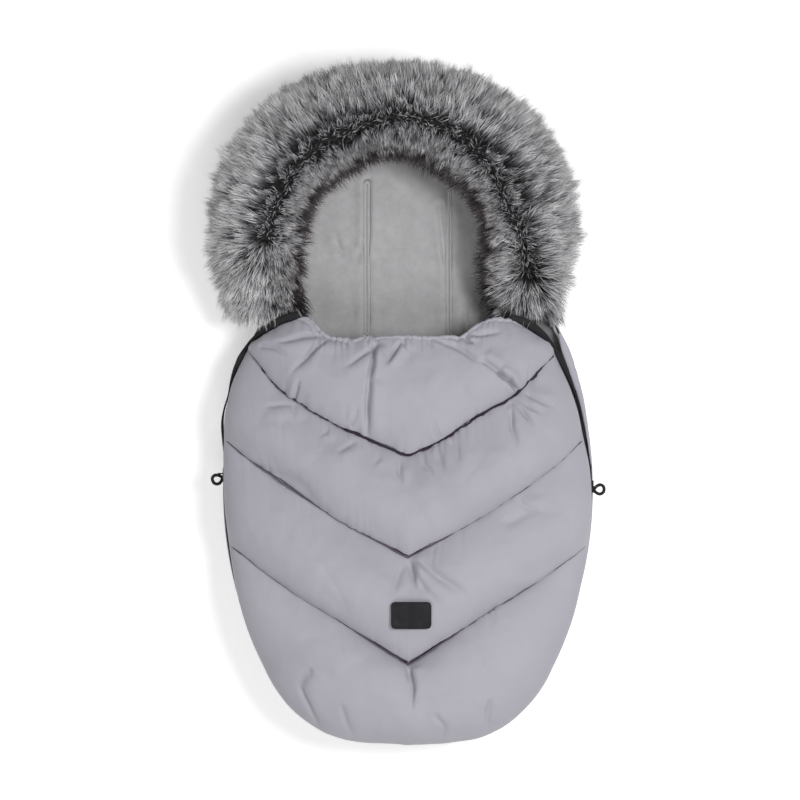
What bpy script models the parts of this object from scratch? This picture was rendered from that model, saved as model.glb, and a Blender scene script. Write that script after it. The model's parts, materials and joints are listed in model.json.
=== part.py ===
"""Stroller footmuff, lying on its back: padded tray with hood and fur trim, quilted cover, side zips.

X is the width, +Y points to the head, +Z is up. Lengths are in metres.
"""
import math

import bmesh
import bpy
from mathutils import Matrix, Vector
from mathutils.bvhtree import BVHTree

# Plan of the bag: two long side arcs, two toe corners, a short straight toe edge
HALF_WIDTH = 0.2418
WIDEST_Y = -0.110
TOE_Y = -0.429
TOE_NARROWING = 0.1918
CORNER_RADIUS = 0.1515
NECK_Y = 0.105
HOOD_NARROWING = 0.0538
HOOD_SIDE_Y = 0.215
HOOD_TOP_Y = 0.402
HOOD_ROUNDNESS_SHARE = 2.25

# Layers and clearances
GAP = 0.0003
SEAM_GAP = 0.0006
LOOSE_GAP = 0.0008
PAD_SHEET = 0.0010
SHELL = 0.0016
BACK_FILL = 0.0140
PLUSH = 0.0050
EDGE_PLUSH = 0.0030
TAPE = 0.0010

# Heights
ZIP_Z = 0.0660
ZIP_ABOVE_BACK = 0.0055
ZIP_BELOW_COVER = 0.0072
HOOD_RIM_Z = 0.1080
HOOD_RISE_START_Y = 0.125
HOOD_RISE_END_Y = 0.240
WALL_BEND = 0.075

# Front cover
COVER_RISE = 0.048
TOE_RISE = 0.090
TOE_OVERHANG = 0.016
CHAMBER_SEAM = 0.0050
COVER_FILL = 0.0070
COVER_PLUSH = 0.0040
COVER_BULGE_SHARE = 2.6
COVER_ROUND_SHARE = 2.2
DRAWN_EDGE_SHARE = 6
PUFF_ROUNDNESS_SHARE = 0.6
PUFF_EDGE_SHARE = 24
PUFF_NARROWING_SHARE = 0.35
HEM_MIDDLE_Y = 0.069
HEM_SIDE_Y = 0.098
HEM_END_Y = 0.082
HEM_CLIMB_SHARES = (0.25, 0.67)
HEM_DROP_SHARE = 0.72
HEM_DROP_ROUNDNESS_SHARE = 2.4
HEM_RADIUS = 0.0085
HEM_BORE = 0.0030
ELASTIC_RADIUS = 0.0026
HEM_SIDES = 8

# Quilting seams, as end and apex of each V, and how straight its arms are
SEAM_ENDS_Y = (0.074, -0.044, -0.182)
SEAM_APEXES_Y = (-0.066, -0.196, -0.335)
SEAM_STRAIGHT_SHARES = (0.62, 0.78, 0.80)
PUFFS = (0.020, 0.025, 0.026, 0.026)

# How much further apart than their gap two chambers start, as their seam runs aslant
SEAM_SLANT_SHARE = 1.6

# Grid lines over the cover, as shares of its half-width and of each chamber
COLUMN_SHARES = (0.0, 0.2, 0.4, 0.58, 0.74, 0.87, 0.95, 0.99, 1.0)
CHAMBER_ROW_SHARES = (0.0, 0.08, 0.26, 0.5, 0.74, 0.92, 1.0)
TOE_ROW_SHARES = (0.0, 0.07, 0.18, 0.31, 0.44, 0.57, 0.69, 0.79, 0.87, 0.93, 0.972, 0.996, 1.0)
LINER_ROW_SHARES = (0.0, 0.26, 0.5, 0.74, 1.0)
LINER_TOE_ROW_SHARES = (0.0, 0.18, 0.44, 0.69, 0.87, 0.972, 0.996, 1.0)
WADDING_EDGE_SHARE = 0.9

# Tray wall rings, in degrees from the flat bottom to the rim
RING_DEGREES = (0.0, 26.0, 50.0, 70.0, 82.0, 90.0)

# Zips
TOOTH_PITCH = 0.0070
TOOTH_HEIGHT = 0.0026
TOOTH_GAP = 0.0005
CHAIN_THICKNESS = 0.0025
CHAIN_BASE = 0.0018
TAPE_IN_BACK = 0.0050
TAPE_IN_COVER = 0.0008
ZIP_PARTING = 0.0036
PARTING_START = -0.0020
PARTING_END = 0.0035
STOP_LENGTH = 0.0070
STOP_WALL = 0.0012

# Sliders and pulls
SLIDER_LEFT_Y = -0.0897
SLIDER_RIGHT_Y = -0.1066
SLIDER_LENGTH = 0.0160
SLIDER_HEIGHT = 0.0092
SLIDER_NOSE_SHARE = 0.62
SLIDER_PLATE = 0.0016
SLIDER_CLEARANCE = 0.0005
POST_LENGTH = 0.0032
POST_TIP = 0.0008
BAIL_BAR = 0.0016
BAIL_LEG = 0.0012
CORD_RADIUS = 0.0018
CORD_EASE = 0.0005
LOOP_OUTER_RADIUS = 0.0050
LOOP_REACH = 0.0090
LOOP_STEPS = 10
CORD_SIDES = 6
LOOP_REST_DEGREES = {"left": 70.0, "right": 52.0}

# Harness slots in the back
SLOT_X = 0.054
SLOT_Y = 0.193
SLOT_LENGTH = 0.200
SLOT_WIDTH = 0.0056
SLOT_WALL = 0.0012
CROTCH_SLOT_Y = -0.060
CROTCH_SLOT_LENGTH = 0.060
CUT_OVERRUN = 0.010

# Anti-slip pads under the back, as half-width, lowest and highest place along the bag
PADS = {
    "low": (0.100, -0.330, -0.090),
    "middle": (0.118, -0.032, 0.078),
    "high": (0.085, 0.306, 0.334),
}
PAD_CORNER = 0.013

# Hood rim, fur and snaps
RIM_BINDING = 0.0016
RIM_BINDING_DEPTH = 0.016
RIM_BINDING_START_Y = 0.092
RIM_EASE = 0.0011
INNER_LEG_DEPTH = 0.0060
FUR_EASE = 0.0010
FUR_END_SLANT_SHARE = 0.45
FUR_END_SHARES = (0.62, 0.86, 0.97)
FUR_BACKING = 0.0012
FUR_BACKING_DEPTH = 0.020
FUR_INNER_REACH = 0.056
FUR_OUTER_REACH = 0.042
FUR_CROWN = 0.040
FUR_PARTING = 0.016
FUR_HANG = 0.060
FUR_INNER_HANG = 0.015
FUR_OUTER_SHARES = ((0.0, -0.8, 0), (0.3, -1.0, 0), (0.8, -0.72, 0), (1.0, -0.2, 0), (0.94, 0.45, 1),
                    (0.62, 0.92, 1), (0.25, 1.0, 1))
FUR_INNER_SHARES = ((0.3, 0.86, 1), (0.7, 0.62, 1), (1.0, 0.05, 1), (0.8, -0.7, 0), (0.35, -1.0, 0),
                    (0.0, -0.6, 0))
SNAP_RADIUS = 0.0065
SNAP_THICKNESS = 0.0015
SNAP_NUB_RADIUS = 0.0022
SNAP_COUNT = 5
SNAP_SPREAD_SHARE = 0.80

# Patch on the cover
PATCH_X = 0.004
PATCH_Y = -0.2704
PATCH_WIDTH = 0.052
PATCH_HEIGHT = 0.035
PATCH_THICKNESS = 0.0018
PATCH_RIM = 0.0022
PATCH_RIM_HEIGHT = 0.0008
PATCH_CORNER = 0.0050
PATCH_CORNER_STEPS = 2
PATCH_EDGE_SPLITS = (4, 2)
PATCH_SEAT = 0.0007
PATCH_RING_SHARES = (0.35, 0.7, 1.0)

SIDES = {"left": -1.0, "right": 1.0}
SLIDER_REST_Y = {"left": SLIDER_LEFT_Y, "right": SLIDER_RIGHT_Y}

BACK_Z = PAD_SHEET + GAP
HOOD_HALF_WIDTH = HALF_WIDTH - HOOD_NARROWING
BACK_RIM_Z = ZIP_Z - ZIP_ABOVE_BACK
COVER_EDGE_Z = ZIP_Z + ZIP_BELOW_COVER
CORNER_X = HALF_WIDTH - TOE_NARROWING
CORNER_Y = TOE_Y + CORNER_RADIUS
CORNER_DROP = WIDEST_Y - CORNER_Y
# The side arc that touches the toe corner and is as wide as the bag at its widest place
SIDE_RADIUS = (TOE_NARROWING ** 2 + CORNER_DROP ** 2 - CORNER_RADIUS ** 2) / (2 * (TOE_NARROWING - CORNER_RADIUS))
SIDE_CENTRE_X = SIDE_RADIUS - HALF_WIDTH
JOIN_Y = WIDEST_Y - SIDE_RADIUS * CORNER_DROP / (SIDE_RADIUS - CORNER_RADIUS)
LOOP_INNER_RADIUS = BAIL_BAR / math.sqrt(2) + GAP + CORD_RADIUS
BAIL_REACH = LOOP_INNER_RADIUS + CORD_RADIUS + GAP
BAIL_OPENING = 2 * (CORD_RADIUS + CORD_EASE)
TAPE_SLOT = TAPE + 2 * SEAM_GAP
TAPE_INSET = SHELL + SEAM_GAP + TAPE / 2


def clear_scene():
    for old in list(bpy.data.objects):
        bpy.data.objects.remove(old, do_unlink=True)


def material(name, colour, roughness, metallic=0.0):
    made = bpy.data.materials.new(name)
    made.use_nodes = True
    shader = made.node_tree.nodes["Principled BSDF"]
    shader.inputs["Base Color"].default_value = (*colour, 1.0)
    shader.inputs["Roughness"].default_value = roughness
    shader.inputs["Metallic"].default_value = metallic
    return made


def smoothstep(value):
    value = min(1.0, max(0.0, value))
    return value * value * (3.0 - 2.0 * value)


# Mesh helpers

def add_object(name, mesh_data, finish, smooth_degrees=35.0):
    """Makes one closed object from a bmesh, with its faces turned outwards."""
    bmesh.ops.recalc_face_normals(mesh_data, faces=mesh_data.faces)
    mesh = bpy.data.meshes.new(name)
    mesh_data.to_mesh(mesh)
    mesh_data.free()
    mesh.materials.append(finish)
    mesh.shade_smooth()
    mesh.set_sharp_from_angle(angle=math.radians(smooth_degrees))
    made = bpy.data.objects.new(name, mesh)
    bpy.context.scene.collection.objects.link(made)
    return made


def add_patch(shape, corners):
    """Adds a four-cornered patch, split from its highest corner, or the outermost of equals.

    Facing patches of nested pieces are so split alike, which keeps them apart where they twist.
    """
    heights = [corner.co.z for corner in corners]
    top = max(heights)
    level = [corner for corner in corners if top - corner.co.z < GAP]
    first = corners.index(max(level, key=lambda corner: corner.co.xy.length))
    a, b, c, d = corners[first:] + corners[:first]
    shape.faces.new((a, b, c))
    shape.faces.new((a, c, d))


def loft(name, loops, finish, closed=False, smooth_degrees=35.0):
    """Joins closed loops of equal length into a tube, capped at both ends unless it closes."""
    shape = bmesh.new()
    rows = [[shape.verts.new(point) for point in loop] for loop in loops]
    count = len(rows[0])
    pairs = list(zip(rows, rows[1:]))
    if closed:
        pairs.append((rows[-1], rows[0]))
    for low, high in pairs:
        for k in range(count):
            after = (k + 1) % count
            add_patch(shape, [low[k], low[after], high[after], high[k]])
    if not closed:
        shape.faces.new(rows[0])
        shape.faces.new(rows[-1])
    return add_object(name, shape, finish, smooth_degrees)


def sheet(name, upper, lower, finish, smooth_degrees=35.0):
    """Makes a closed slab between two grids of points with the same rows and columns.

    Its patches are split along mirrored diagonals, so that layers stay parallel and even.
    """
    shape = bmesh.new()
    tops = [[shape.verts.new(point) for point in row] for row in upper]
    bottoms = [[shape.verts.new(point) for point in row] for row in lower]
    rows = len(tops)
    columns = len(tops[0])
    for grid in (tops, bottoms):
        for i in range(rows - 1):
            for j in range(columns - 1):
                a, b, c, d = grid[i][j], grid[i][j + 1], grid[i + 1][j + 1], grid[i + 1][j]
                if 2 * j < columns - 1:
                    a, b, c, d = b, c, d, a
                shape.faces.new((a, b, c))
                shape.faces.new((a, c, d))
    rim = [(0, j) for j in range(columns - 1)]
    rim += [(i, columns - 1) for i in range(rows - 1)]
    rim += [(rows - 1, j) for j in range(columns - 1, 0, -1)]
    rim += [(i, 0) for i in range(rows - 1, 0, -1)]
    for here, there in zip(rim, rim[1:] + rim[:1]):
        a, b = tops[here[0]][here[1]], tops[there[0]][there[1]]
        c, d = bottoms[there[0]][there[1]], bottoms[here[0]][here[1]]
        shape.faces.new((a, b, c, d))
    return add_object(name, shape, finish, smooth_degrees)


def prism(name, outline, low, high, finish, frame=None, smooth_degrees=35.0):
    """Extrudes a flat outline from one height to the other, in a frame if one is given."""
    placed = frame or Matrix.Identity(4)
    loops = [[placed @ Vector((x, y, z)) for x, y in outline] for z in (low, high)]
    return loft(name, loops, finish, smooth_degrees=smooth_degrees)


def join_by(target, other, operation):
    """Applies a Boolean with another object to the target and removes that object."""
    step = target.modifiers.new("boolean", "BOOLEAN")
    step.operation = operation
    step.solver = "EXACT"
    step.object = other
    with bpy.context.temp_override(object=target, active_object=target):
        bpy.ops.object.modifier_apply(modifier=step.name)
    bpy.data.objects.remove(other, do_unlink=True)
    target.data.shade_smooth()
    target.data.set_sharp_from_angle(angle=math.radians(35.0))


def rounded_rectangle(width, height, corner, steps, edge_splits=(1, 1)):
    """An outline with round corners; its level and upright edges can be split further."""
    points = []
    for turn, (sx, sy) in enumerate(((1, 1), (-1, 1), (-1, -1), (1, -1))):
        centre_x, centre_y = sx * (width / 2 - corner), sy * (height / 2 - corner)
        for k in range(steps + 1):
            angle = math.radians(90.0 * turn + 90.0 * k / steps)
            points.append((centre_x + corner * math.cos(angle), centre_y + corner * math.sin(angle)))
        splits = edge_splits[turn % 2]
        x, y = points[-1]
        for k in range(1, splits):
            if turn % 2 == 0:
                points.append((x - 2 * centre_x * k / splits, y))
            else:
                points.append((x, y - 2 * centre_y * k / splits))
    return points


# Plan outline

def half_width(y):
    """Half the bag's width at a place along it, below the neck."""
    if y < JOIN_Y:
        reach = max(0.0, CORNER_RADIUS ** 2 - (y - CORNER_Y) ** 2)
        return CORNER_X + math.sqrt(reach)
    return math.sqrt(SIDE_RADIUS ** 2 - (y - WIDEST_Y) ** 2) - SIDE_CENTRE_X


def chamber_edges():
    """Places along the side where the rows of chambers 2 to 4 meet the zip, toe first."""
    ends = list(SEAM_ENDS_Y) + [TOE_Y]
    places = []
    for chamber in (1, 2, 3):
        shares = TOE_ROW_SHARES if chamber == 3 else CHAMBER_ROW_SHARES
        start, stop = ends[chamber - 1], ends[chamber]
        places += [start + (stop - start) * share for share in shares[:-1]]
    places.append(TOE_Y)
    return places[::-1]


def right_outline():
    """Points of the right half of the tray's plan, from the toe edge's end to the hood's top."""
    points = [(half_width(y), y) for y in chamber_edges()]
    neck_x = half_width(NECK_Y)
    points.append((neck_x, NECK_Y))
    slope = (WIDEST_Y - NECK_Y) / (neck_x + SIDE_CENTRE_X)
    rise = HOOD_SIDE_Y - NECK_Y
    neck_steps = 3
    for k in range(1, neck_steps + 1):
        t = k / neck_steps
        ends = neck_x * (2 * t ** 3 - 3 * t ** 2 + 1) + HOOD_HALF_WIDTH * (3 * t ** 2 - 2 * t ** 3)
        points.append((ends + slope * rise * (t ** 3 - 2 * t ** 2 + t), NECK_Y + rise * t))
    hood_steps = 7
    for k in range(1, hood_steps):
        angle = math.radians(90.0 * k / hood_steps)
        x = HOOD_HALF_WIDTH * math.cos(angle) ** (2 / HOOD_ROUNDNESS_SHARE)
        rise_here = (HOOD_TOP_Y - HOOD_SIDE_Y) * math.sin(angle) ** (2 / HOOD_ROUNDNESS_SHARE)
        points.append((x, HOOD_SIDE_Y + rise_here))
    return points


def tray_outline():
    """The whole closed plan, anticlockwise from the right end of the toe edge."""
    right = right_outline()
    return right + [(0.0, HOOD_TOP_Y)] + [(-x, y) for x, y in reversed(right)]


def inward(points, closed=True):
    """Inward steps at each point of a plan line, mitred so that offsets stay parallel."""
    count = len(points)
    steps = []
    for k in range(count):
        if closed:
            before, after = points[k - 1], points[(k + 1) % count]
        else:
            before, after = points[max(0, k - 1)], points[min(count - 1, k + 1)]
        here = Vector(points[k])
        first = (here - Vector(before)).normalized() if Vector(before) != here else None
        second = (Vector(after) - here).normalized() if Vector(after) != here else None
        first = first or second
        second = second or first
        along = (first + second).normalized()
        stretch = max(0.5, along.dot(first))
        steps.append(Vector((-along.y, along.x)) / stretch)
    return steps


def rim_height(y):
    share = smoothstep((y - HOOD_RISE_START_Y) / (HOOD_RISE_END_Y - HOOD_RISE_START_Y))
    return BACK_RIM_Z + (HOOD_RIM_Z - BACK_RIM_Z) * share


OUTLINE = tray_outline()
INWARD = inward(OUTLINE)
RIGHT_COUNT = len(right_outline())
ZIP_COUNT = len(chamber_edges())


def tray_ring(degrees, offset):
    """One ring of a tray layer, at an angle up its rounded wall and a depth into the padding."""
    angle = math.radians(degrees)
    ring = []
    for k, (x, y) in enumerate(OUTLINE):
        inset = offset + (WALL_BEND - offset) * (1 - math.sin(angle))
        depth = rim_height(y) - BACK_Z - offset
        z = BACK_Z + offset + depth * (1 - math.cos(angle))
        step = INWARD[k] * inset
        ring.append((x + step.x, y + step.y, z))
    return ring


def tray_solid(name, rings_out, rings_in, finish):
    """Closes a tray layer from its outer rings, inner rings and two flat bottoms.

    Every wall patch is split along the same diagonal, so that layers stay parallel.
    """
    shape = bmesh.new()
    outer = [[shape.verts.new(point) for point in ring] for ring in rings_out]
    inner = [[shape.verts.new(point) for point in ring] for ring in rings_in]
    for skin in (outer, inner):
        for low, high in zip(skin, skin[1:]):
            for k in range(len(low)):
                after = (k + 1) % len(low)
                shape.faces.new((low[k], low[after], high[after]))
                shape.faces.new((low[k], high[after], high[k]))
    for k in range(len(outer[-1])):
        after = (k + 1) % len(outer[-1])
        shape.faces.new((outer[-1][k], outer[-1][after], inner[-1][after], inner[-1][k]))
    shape.faces.new(outer[0])
    shape.faces.new(inner[0])
    return add_object(name, shape, finish)


def edge_share(degrees):
    """1 at the tray's bottom, 0 in the upright band below the rim."""
    return 1 - min(1.0, degrees / RING_DEGREES[-2]) ** 4


def fill_here(degrees):
    """Thickness between shell and lining: full at the bottom, drawn in to the tape at the rim."""
    full = GAP + BACK_FILL + GAP
    return TAPE_SLOT + (full - TAPE_SLOT) * edge_share(degrees)


def plush_here(degrees):
    return EDGE_PLUSH + (PLUSH - EDGE_PLUSH) * edge_share(degrees)


def make_tray(finishes):
    shell = tray_solid(
        "back_shell",
        [tray_ring(d, 0.0) for d in RING_DEGREES],
        [tray_ring(d, SHELL) for d in RING_DEGREES],
        finishes["nylon"],
    )
    wadding_out = []
    wadding_in = []
    for d in RING_DEGREES[:-2]:
        wall_gap = GAP + LOOSE_GAP * math.sin(math.radians(d))
        wadding_out.append(tray_ring(d, SHELL + wall_gap))
        wadding_in.append(tray_ring(d, SHELL + fill_here(d) - wall_gap))
    wadding = tray_solid("back_wadding", wadding_out, wadding_in, finishes["wadding"])
    lining = tray_solid(
        "back_lining",
        [tray_ring(d, SHELL + fill_here(d)) for d in RING_DEGREES],
        [tray_ring(d, SHELL + fill_here(d) + plush_here(d)) for d in RING_DEGREES],
        finishes["plush"],
    )
    for place, (half, low, high) in PADS.items():
        corners = rounded_rectangle(2 * half, high - low, PAD_CORNER, 4)
        outline = [(x, y + (high + low) / 2) for x, y in corners]
        prism(f"antislip_pad_{place}", outline, 0.0, PAD_SHEET, finishes["rubber"])
    lining_top = BACK_Z + SHELL + 2 * GAP + BACK_FILL + PLUSH
    for name, x, y, length, turn in slot_places():
        for layer in (shell, wadding, lining):
            outline = slot_outline(SLOT_WIDTH + 2 * (SLOT_WALL + GAP), length, turn, x, y)
            cutter = prism("cutter", outline, -CUT_OVERRUN, lining_top + CUT_OVERRUN, finishes["nylon"])
            join_by(layer, cutter, "DIFFERENCE")
        make_slot_binding(name, x, y, length, turn, lining_top, finishes["binding"])


def slot_places():
    return (
        ("shoulder_slot_binding_left", -SLOT_X, SLOT_Y, SLOT_LENGTH, 0.0),
        ("shoulder_slot_binding_right", SLOT_X, SLOT_Y, SLOT_LENGTH, 0.0),
        ("crotch_slot_binding", 0.0, CROTCH_SLOT_Y, CROTCH_SLOT_LENGTH, 90.0),
    )


def slot_outline(width, length, turn, x, y):
    """A slot with round ends, as long as the opening plus its wall, turned in plan."""
    long_way = length + width - SLOT_WIDTH
    flat = rounded_rectangle(width, long_way, width / 2, 3)
    cos_turn, sin_turn = math.cos(math.radians(turn)), math.sin(math.radians(turn))
    return [(x + px * cos_turn - py * sin_turn, y + px * sin_turn + py * cos_turn) for px, py in flat]


def make_slot_binding(name, x, y, length, turn, top, finish):
    outer = slot_outline(SLOT_WIDTH + 2 * SLOT_WALL, length, turn, x, y)
    inner = slot_outline(SLOT_WIDTH, length, turn, x, y)
    loops = [
        [(px, py, BACK_Z) for px, py in outer],
        [(px, py, top) for px, py in outer],
        [(px, py, top) for px, py in inner],
        [(px, py, BACK_Z) for px, py in inner],
    ]
    loft(name, loops, finish, closed=True)


# Front cover

def seam_y(seam, share):
    """Place along the bag of a quilting seam, at a share of the half-width."""
    end, apex = SEAM_ENDS_Y[seam], SEAM_APEXES_Y[seam]
    straight = SEAM_STRAIGHT_SHARES[seam]
    away = abs(share)
    return apex + (end - apex) * (straight * away + (1 - straight) * away * away)


def hem_y(share):
    """Place along the bag of the cover's gathered top edge: dips in the middle, round corners."""
    away = abs(share)
    start, stop = HEM_CLIMB_SHARES
    lift = smoothstep((away - start) / (stop - start))
    drop = max(0.0, (away - HEM_DROP_SHARE) / (1 - HEM_DROP_SHARE)) ** HEM_DROP_ROUNDNESS_SHARE
    return HEM_MIDDLE_Y + (HEM_SIDE_Y - HEM_MIDDLE_Y) * lift - (HEM_SIDE_Y - HEM_END_Y) * drop


def chamber_line(line, share):
    if line == 0:
        return hem_y(share)
    if line == 4:
        return TOE_Y
    return seam_y(line - 1, share)


def chamber_y(chamber, share, down):
    top, bottom = chamber_line(chamber, share), chamber_line(chamber + 1, share)
    return top + (bottom - top) * down


def past_toe(y):
    """How far a place lies up the cover's rise from the toe, from 0 to 1."""
    return min(1.0, max(0.0, (y - TOE_Y) / TOE_RISE))


def cover_point(share, y, depth):
    """A point of the cover's dome, at a depth below its surface, or above it if negative."""
    risen = past_toe(y)
    height = (COVER_RISE - depth) * math.sqrt(1 - (1 - risen) ** 2)
    crown = (1 - abs(share) ** COVER_BULGE_SHARE) ** (1 / COVER_ROUND_SHARE)
    overhang = TOE_OVERHANG * math.sin(math.pi * math.sqrt(risen)) * (1 - abs(share) ** DRAWN_EDGE_SHARE)
    x = share * (half_width(y) - depth)
    return (x, y + depth * (1 - risen) - overhang, COVER_EDGE_Z + height * crown)


def drawn_in(share, y):
    """1 over the cover's middle, 0 at its zips and toe, where its layers come together."""
    return (1 - abs(share) ** DRAWN_EDGE_SHARE) * (1 - (1 - past_toe(y)) ** DRAWN_EDGE_SHARE)


def chamber_depth(share, y):
    return SHELL + (CHAMBER_SEAM - SHELL) * drawn_in(share, y)


def lining_depth(share, y):
    full = 2 * GAP + 2 * LOOSE_GAP + COVER_FILL
    return chamber_depth(share, y) + TAPE_SLOT + (full - TAPE_SLOT) * drawn_in(share, y)


def puff_height(chamber, share, down):
    """How far a chamber swells above the dome, from nothing at its seams to its full height."""
    across = (4 * down * (1 - down)) ** PUFF_ROUNDNESS_SHARE
    edge = 1 - abs(share) ** PUFF_EDGE_SHARE
    narrow = 1 - PUFF_NARROWING_SHARE * abs(share) ** 3
    return PUFFS[chamber] * across * edge * narrow


def columns():
    return [-share for share in COLUMN_SHARES[:0:-1]] + list(COLUMN_SHARES)


def chamber_rows(chamber):
    return TOE_ROW_SHARES if chamber == 3 else CHAMBER_ROW_SHARES


def chamber_grids(chamber):
    """Upper and lower points of a chamber, held off its neighbours by half a gap at each seam."""
    upper = []
    lower = []
    for down in chamber_rows(chamber):
        shift = 0.0
        if down == 0.0 and chamber > 0:
            shift = -GAP / 2
        if down == 1.0 and chamber < 3:
            shift = GAP / 2
        top_row = []
        bottom_row = []
        for share in columns():
            y = chamber_y(chamber, share, down) + shift * SEAM_SLANT_SHARE
            top_row.append(cover_point(share, y, -puff_height(chamber, share, down)))
            bottom_row.append(cover_point(share, y, chamber_depth(share, y)))
        upper.append(top_row)
        lower.append(bottom_row)
    return upper, lower


def make_cover(finishes):
    chambers = []
    for chamber in range(4):
        upper, lower = chamber_grids(chamber)
        chambers.append(sheet(f"cover_panel_{chamber + 1}", upper, lower, finishes["nylon"]))
    lining_rows = ([], [])
    wadding_rows = ([], [])
    inner_columns = [share for share in columns() if abs(share) < WADDING_EDGE_SHARE]
    for chamber in range(4):
        shares = LINER_TOE_ROW_SHARES if chamber == 3 else LINER_ROW_SHARES
        for down in shares if chamber == 0 else shares[1:]:
            upper = []
            lower = []
            for share in columns():
                y = chamber_y(chamber, share, down)
                depth = lining_depth(share, y)
                plush = EDGE_PLUSH + (COVER_PLUSH - EDGE_PLUSH) * drawn_in(share, y)
                upper.append(cover_point(share, y, depth))
                lower.append(cover_point(share, y, depth + plush))
            lining_rows[0].append(upper)
            lining_rows[1].append(lower)
            if chamber == 3 and down > WADDING_EDGE_SHARE:
                continue
            upper = []
            lower = []
            for share in inner_columns:
                y = chamber_y(chamber, share, down)
                upper.append(cover_point(share, y, chamber_depth(share, y) + GAP + LOOSE_GAP / 2))
                lower.append(cover_point(share, y, lining_depth(share, y) - GAP - LOOSE_GAP / 2))
            wadding_rows[0].append(upper)
            wadding_rows[1].append(lower)
    sheet("cover_lining", *lining_rows, finishes["plush"])
    sheet("cover_wadding", *wadding_rows, finishes["wadding"])
    make_hem(finishes)
    make_patch(chambers[2], finishes["rubber"])


def hem_path():
    """Middle line of the rolled hem, just beyond the cover's top edge."""
    shares = [share for share in columns() if abs(share) < WADDING_EDGE_SHARE]
    edge = []
    for share in shares:
        y = hem_y(share)
        middle = (lining_depth(share, y) + COVER_PLUSH) / 2
        edge.append(cover_point(share, y, middle))
    steps = inward([(x, y) for x, y, _ in edge], closed=False)
    out = HEM_RADIUS + GAP
    return [Vector((x + s.x * out, y + s.y * out, z)) for (x, y, z), s in zip(edge, steps)]


def tube_loops(path, radius, sides, closed=False):
    """Round cross-sections along a path, upright in plan."""
    loops = []
    count = len(path)
    for k, point in enumerate(path):
        if closed:
            along = path[(k + 1) % count] - path[k - 1]
        else:
            along = path[min(count - 1, k + 1)] - path[max(0, k - 1)]
        along.normalize()
        across = along.cross(Vector((0, 0, 1))).normalized()
        up = across.cross(along).normalized()
        angles = [2 * math.pi * n / sides for n in range(sides)]
        loops.append([point + radius * (math.cos(a) * across + math.sin(a) * up) for a in angles])
    return loops


def make_hem(finishes):
    path = hem_path()
    outer = tube_loops(path, HEM_RADIUS, HEM_SIDES)
    inner = tube_loops(path, HEM_BORE, HEM_SIDES)
    shape = bmesh.new()
    skins = [[[shape.verts.new(p) for p in loop] for loop in loops] for loops in (outer, inner)]
    for rows in skins:
        for low, high in zip(rows, rows[1:]):
            for k in range(HEM_SIDES):
                after = (k + 1) % HEM_SIDES
                shape.faces.new((low[k], low[after], high[after], high[k]))
    for end in (0, -1):
        for k in range(HEM_SIDES):
            after = (k + 1) % HEM_SIDES
            ring, bore = skins[0][end], skins[1][end]
            shape.faces.new((ring[k], ring[after], bore[after], bore[k]))
    add_object("cover_hem_casing", shape, finishes["nylon"])
    loft("cover_hem_elastic", tube_loops(path, ELASTIC_RADIUS, HEM_SIDES), finishes["elastic"])


def make_patch(panel, finish):
    """A moulded patch with a raised rim that lies on the third chamber's curve."""
    tree = BVHTree.FromObject(panel, bpy.context.evaluated_depsgraph_get())
    above = COVER_EDGE_Z + COVER_RISE + 2 * max(PUFFS)

    def seated(point, rise):
        x, y = PATCH_X + point[0], PATCH_Y + point[1]
        hit = tree.ray_cast(Vector((x, y, above)), Vector((0, 0, -1)))
        return shape.verts.new((x, y, hit[0].z + PATCH_SEAT + rise))

    def outline(inset):
        size = (PATCH_WIDTH - 2 * inset, PATCH_HEIGHT - 2 * inset, PATCH_CORNER - inset)
        return rounded_rectangle(*size, PATCH_CORNER_STEPS, PATCH_EDGE_SPLITS)

    shape = bmesh.new()
    field = outline(PATCH_RIM)
    rings = [(share, field, 0.0) for share in PATCH_RING_SHARES]
    rings += [(1.0, outline(0.0), 0.0), (1.0, outline(0.0), PATCH_THICKNESS + PATCH_RIM_HEIGHT)]
    rings += [(1.0, field, PATCH_THICKNESS + PATCH_RIM_HEIGHT)]
    rings += [(share, field, PATCH_THICKNESS) for share in PATCH_RING_SHARES[::-1]]
    loops = []
    for share, points, rise in rings:
        loops.append([seated((x * share, y * share), rise) for x, y in points])
    for low, high in zip(loops, loops[1:]):
        for k in range(len(low)):
            after = (k + 1) % len(low)
            shape.faces.new((low[k], low[after], high[after], high[k]))
    for loop, rise in ((loops[0], 0.0), (loops[-1], PATCH_THICKNESS)):
        centre = seated((0.0, 0.0), rise)
        for k in range(len(loop)):
            shape.faces.new((loop[k], loop[(k + 1) % len(loop)], centre))
    add_object("cover_patch", shape, finish)


# Zips

def lengths_along(points):
    places = [0.0]
    for a, b in zip(points, points[1:]):
        places.append(places[-1] + (Vector(b) - Vector(a)).length)
    return places


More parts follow.
